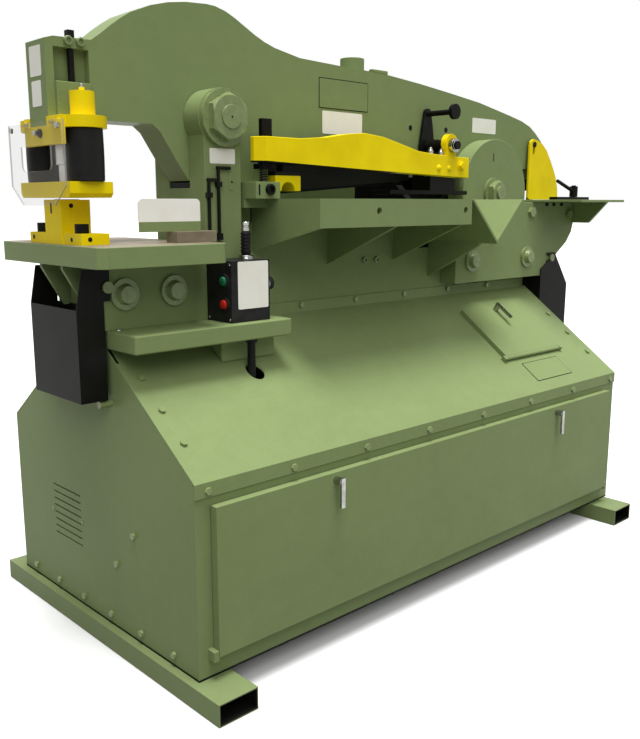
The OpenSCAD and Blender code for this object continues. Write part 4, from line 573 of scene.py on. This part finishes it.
hose_x, hose_y, hose_z, hose_rings, ring_pitch, ring_r, hose_r = 326, -195, 630, 20, 4.25, 10.2, 8.2
hose = []
for k in range(hose_rings):
    ring_z = k * ring_pitch
    hose += [(hose_r, ring_z), (hose_r, ring_z + 1.1), (ring_r, ring_z + 1.7), (ring_r, ring_z + 3.6)]
hose += [(hose_r, 85.2), (hose_r, 86)]
hose_nut, hose_nut_z = [(13.4, 0), (15.2, 1.2), (15.2, 9), (13.6, 10)], 715
hose_plastic = finish("hose_plastic", plastic_skin((0.010, 0.010, 0.010), (0.022, 0.022, 0.021)))
hose_piece = fit("conduit_hose", [turned(hose, (hose_x, hose_y, hose_z), upward, 24),
                                  turned(hose_nut, (hose_x, hose_y, hose_nut_z), upward, 6)],
                 hose_plastic, "frame")
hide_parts("conduit")


# Shear table and V trough: welded plate in the green enamel with rounded edges, in front
# of the black straight, V and notch blades, which are screwed to the frame and the beam.
for name, edge in (("shear_table", 8.0), ("v_trough", 1.5)):
    coat(name, green_enamel, edge)
for name in ("fixed_blades", "moving_blades"):
    coat(name, black_enamel, 0.8)


# Rear sheet: a black sheet with a folded edge behind the shear, painted shade that darkens the gap between
# the blades so that no light shows through it. It is bolted to the end of the drop guard.
rear_shade_l, rear_shade_h, rear_shade_t, rear_shade_corner = 300, 130, 3, (1022, 158, 980)
fold_deep, fold_h = 12, 14
fit("rear_painted_shade_sheet", [slab(rounded(rear_shade_l, rear_shade_h, 6), rear_shade_t, rear_shade_corner, rightward, upward),
                    slab(rounded(rear_shade_l, fold_deep, 1.4), fold_h, rear_shade_corner, rightward, rearward)],
    black_enamel, "frame", 0.6)


# Hold-down: a yellow bar with black feet is pushed down on the bar being cut by a crank,
# and a small coil of spring wire lifts it again. Its brackets are bolted to the frame.
right_end_x, shoe_top_z, bar_back_y, foot_top_z = 560, 1112, -109, 1108.5
under_x, under_z, under_fall = 374, 1143.5, 0.0354


def bar_skin(place):
    along, height = across(place, "X"), across(place, "Z")
    right_end = along > at(right_end_x, 0, 0).x
    shoe = (height < at(0, 0, shoe_top_z).z) * right_end
    back = (across(place, "Y") > at(0, bar_back_y, 0).y) * right_end
    under = at(under_x, 0, under_z)
    below_bar = (height + along * under_fall) < under.z + under.x * under_fall
    neck = (height > at(0, 0, foot_top_z).z) * below_bar
    dark = neck.sum("MAXIMUM", neck, shoe.sum("MAXIMUM", shoe, back))
    return either(dark, yellow_skin(place), black_skin(place))


arm_foot_z, post_top_z = 1140, 1124


def bracket_skin(place):
    arm = across(place, "Z") > at(0, 0, arm_foot_z).z
    return either(arm, green_skin(place), black_skin(place))


washer_centre, washer_reach, washer_front_y = (1130, -160, 1208), 0.026, -165.2


def crank_skin(place):
    near = place.node("VectorMath", {"operation": "DISTANCE"}, {0: place, 1: at(*washer_centre)}, out="Value")
    washer = (near < washer_reach) * (across(place, "Y") > at(0, washer_front_y, 0).y)
    return either(washer, black_skin(place), chrome_skin(place))


def post_skin(place):
    top = across(place, "Z") > at(0, 0, post_top_z).z
    return either(top, green_skin(place), black_skin(place))


def tube(path, wire, steps=10):
    """A round wire bent along a path of places in millimetres."""
    points, sides = [], []
    for k, place in enumerate(path):
        along = Vector(path[min(k + 1, len(path) - 1)]) - Vector(path[max(k - 1, 0)])
        side = along.cross(Vector(upward)).normalized()
        over = side.cross(along).normalized()
        for step in range(steps):
            angle = 2 * math.pi * step / steps
            points.append(at(*(Vector(place) + wire * (side * math.cos(angle) + over * math.sin(angle)))))
    for k in range(len(path) - 1):
        for step in range(steps):
            here, next_one = k * steps + step, k * steps + (step + 1) % steps
            sides.append((here, here + steps, next_one + steps, next_one))
    sides.append(tuple(range(steps)))
    sides.append(tuple(reversed(range(len(points) - steps, len(points)))))
    return points, sides


def hex_head(foot, toward, radius, height):
    return turned([(radius, 0), (radius, height * 0.8), (radius * 0.9, height)], foot, toward, 6)


coat("hold_down_bar", finish("bar_paint", bar_skin), 1.5)
coat("hold_down_brackets", finish("bracket_paint", bracket_skin), 1.5)
coat("hold_down_post", finish("post_paint", post_skin), 0.8)
coat("crank", finish("crank_metal", crank_skin), 0.8)
coil_x, coil_y, coil_low, coil_high = 424, -130, 1094, 1136
coil_r, wire_r, turns, turn_steps = 8.4, 1.7, 7, 24
coil = []
for k in range(turns * turn_steps + 1):
    angle = 2 * math.pi * k / turn_steps
    rise = k / (turns * turn_steps)
    coil.append((coil_x + coil_r * math.cos(angle), coil_y + coil_r * math.sin(angle),
                 coil_low + (coil_high - coil_low) * rise))
spring = fit("lift_coil", [tube(coil, wire_r)], black_enamel, "frame")
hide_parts("lift_spring")
at(coil_x, coil_y, coil_low - wire_r)
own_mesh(spring)

bar_y = -150
bracket_screw_r, bracket_screw_h, bracket_screw_place = 13, 9, (426, bar_y, 1074)
fit("bracket_screw", [cap_head(bracket_screw_place, frontward, bracket_screw_r, bracket_screw_h)],
    black_enamel, "frame")
clamp_slot_w, clamp_slot_h, clamp_slot_t, clamp_slot_corner = 5, 26, 0.4, (392, bar_y, 1060)
fit("bracket_slot", [slab(rounded(clamp_slot_w, clamp_slot_h, 2.4), clamp_slot_t, clamp_slot_corner,
                          rightward, upward)], black_enamel, "frame")
bar_bolt_x, bar_bolt_z, washer_r, washer_t, bolt_r, bolt_h = 1174, 1151, 16, 2, 11, 8
washer = [(washer_r, 0), (washer_r, washer_t - 0.4), (washer_r - 2, washer_t)]
fit("bar_bolt", [turned(washer, (bar_bolt_x, bar_y, bar_bolt_z), frontward),
                 hex_head((bar_bolt_x, bar_y - washer_t, bar_bolt_z), frontward, bolt_r, bolt_h)],
    safety_yellow, "hold_down")
bar_dome_r, bar_dome_h, bar_dome_z = 9, 6, 1142
fit("bar_domes", [dome_head((x, bar_y, bar_dome_z), frontward, bar_dome_r, bar_dome_h) for x in (1071, 1119)],
    safety_yellow, "hold_down")
nub = [(8, 0), (8, 20), (6, 22), (5, 27), (3, 29), (0.5, 30)]
fit("bar_nubs", [turned(nub, (x, coil_y, z), upward, 24) for x, z in ((1056, 1172), (1104, 1170))], chrome,
    "hold_down")


# Notcher: a green table with a black fence and its clamp lever, under a yellow sheet
# guard on the frame. Three black cap screws stand in a row on the strap in front.
coat("notcher_table", green_enamel, 1.5)
for name in ("notch_fence", "clamp_lever"):
    coat(name, black_enamel, 0.8)
coat("notch_guard", safety_yellow, 1.0)
table_screw_r, table_screw_h, table_screw_z = 6, 6, 1036
fit("table_screws", [cap_head((x, strap_y, table_screw_z), frontward, table_screw_r, table_screw_h)
                     for x in (1727, 1772, 1822)], black_enamel, "frame")


# Hydraulics: a black cylinder with a ground rod lifts the right end of the beam, fed by a
# grey motor, pump and tank inside the cabinet.
def grey_skin(place):
    drift = noise(place, 8.0, 5.0)
    tint = ramp(drift, 0.3, (0.15, 0.16, 0.165), 0.7, (0.22, 0.23, 0.235))
    return painted(place, tint, 0.36 + drift * 0.2, grain(noise(place, 500.0, 2.0), 0.06))


pack_grey = finish("pack_grey", grey_skin)
coat("cylinder_barrel", black_enamel, 1.0)
for name in ("motor_pump", "reservoir", "valve_lines"):
    coat(name, pack_grey, 1.0)
for name in ("cylinder_rod", "clevis_pin"):
    coat(name, bare_steel, 0.8)


# Beam: one long flame cut plate in the green enamel, with a ram block and a black
# adjusting screw in its left head and a lifting boss on top. Blank plates are stuck on it.
keeper_y = -42.6


def screw_skin(place):
    keeper = across(place, "Y") < at(0, keeper_y, 0).y
    return either(keeper, black_skin(place), green_skin(place))


for name in ("beam", "ram_block", "lifting_boss"):
    coat(name, green_enamel, 2.0)
coat("adjusting_screw", finish("screw_black", screw_skin), 0.8)
beam_y, head_x = -42.5, -83
screw_face = (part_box("adjusting_screw")[0].y - mid_plane) * 1000
head_screw_r, head_screw_h, head_screw_in, head_screw_z = 9.5, 8, 5, 1374.5
fit("head_cap_screws", [cap_head((x, screw_face + head_screw_in, head_screw_z), frontward, head_screw_r,
                                 head_screw_h) for x in (-32, -4)], bolt_enamel, "beam")
beam_plates = (("lower_beam_plate", 704, 1226, 154, 60), ("right_beam_plate", 1368, 1264, 127, 46))
for name, x, z, width, height in beam_plates:
    fit(name, [slab(rounded(width, height, 4), plate_t, (x, beam_y, z), rightward, upward)], blank_white,
        "beam")
outlined("upper_beam_plate", 190, 79, (691, beam_y, 1292), upward, "beam")
head_plates = (("upper_head_plate", 27, 1303, 51, 61), ("lower_head_plate", 24, 1242, 42, 52))
for name, y, z, width, height in head_plates:
    fit(name, [slab(rounded(width, height, 3), plate_t, (head_x, y, z), frontward, upward)], blank_white,
        "beam")
fit("beam_holes", [dimple((x, beam_y, z), frontward, 8, 1, 0.5) for x, z in ((1066, 1261), (1234, 1264))],
    black_enamel, "beam")


# Punch holder: the yellow top plate hangs under the ram with two capped guide rods, on
# which the stripper is pushed down by barrelled black urethane springs beside the punch.
def urethane_skin(place):
    sheen = noise(place, 22.0, 4.0)
    tint = ramp(sheen, 0.3, (0.006, 0.006, 0.006), 0.7, (0.014, 0.014, 0.013))
    return painted(place, tint, 0.36 + sheen * 0.15, grain(noise(place, 240.0, 3.0), 0.06), shine=0.10)


for name in ("top_plate", "stripper"):
    coat(name, safety_yellow, 1.5)
coat("punch", bare_steel, 0.8)
spring_x, spring_y, spring_foot, spring_top, spring_r, strip_lift = -30, 92, 1086.5, 1195, 39, 20
nipple_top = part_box("top_plate")[1].z * 1000
nipple = [(4.5, -2), (4.5, 2), (2.6, 2.6), (2.6, 5), (3.6, 6), (3.2, 8), (0.4, 9)]
fit("grease_nipples", [turned(nipple, (spring_x, side * spring_y, nipple_top), upward, 16)
                       for side in (-1, 1)], chrome, "beam")
spring_h, chamfer, bulge, bulge_steps = spring_top - spring_foot, 2, 0.8, 12
barrel = [(spring_r - chamfer, 0), (spring_r, chamfer)]
barrel += [(spring_r + bulge * math.sin(math.pi * k / bulge_steps),
            chamfer + (spring_h - 2 * chamfer) * k / bulge_steps) for k in range(1, bulge_steps)]
barrel += [(spring_r, spring_h - chamfer), (spring_r - chamfer, spring_h)]
barrels = fit("urethane_barrels", [turned(barrel, (spring_x, side * spring_y, spring_foot), upward, 48)
                                   for side in (-1, 1)],
              finish("urethane_black", urethane_skin), "beam")
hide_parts("urethane_springs")
at(spring_x, 0, spring_top)
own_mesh(barrels)


# Punch guard: a clear polycarbonate pane with two chromed screws, hinged on the yellow
# bracket, and behind it a blacked spring plunger with a chromed pin.
pane_front_x = -102.3


def clear_skin(place):
    flat = across(place.node("NewGeometry", out="Normal"), "X")
    face = flat.node("Math", {"operation": "ABSOLUTE"}, {0: flat}) > 0.7
    haze = noise(place, 16.0, 4.0)
    tint = ramp(haze, 0.3, (0.32, 0.31, 0.27), 0.7, (0.40, 0.39, 0.35))
    pane = place.node("BsdfPrincipled", {}, {"Base Color": tint, "Roughness": 0.10 + haze * 0.08,
                                             "Alpha": 0.60 - face * 0.50, "IOR": 1.49})
    screw = across(place, "X") < at(pane_front_x, 0, 0).x
    return either(screw, pane, chrome_skin(place))


coat("clear_guard", finish("guard_clear", clear_skin), 0.5)
plunger = [(9, 0), (9, 4), (7.5, 5.5), (5, 6), (5, 8.5), (4, 9), (0.5, 9)]
plunger_place, pin_place = (-88, -14, 1186), (-88, 8, 1188)
fit("guard_plunger", [turned(plunger, plunger_place, leftward)], black_enamel, "beam")
pin = [(5.5, 0), (5.5, 5), (4.5, 6.5), (0.5, 7)]
fit("plunger_pin", [turned(pin, pin_place, leftward)], chrome, "beam")


# Buckets: open bins of folded black sheet, one at each end, for the slugs of the punch and
# the offcuts of the notcher. They hang on pegs and slide straight out.
for name in ("slug_bucket", "scrap_bucket"):
    coat(name, black_enamel, 0.8)
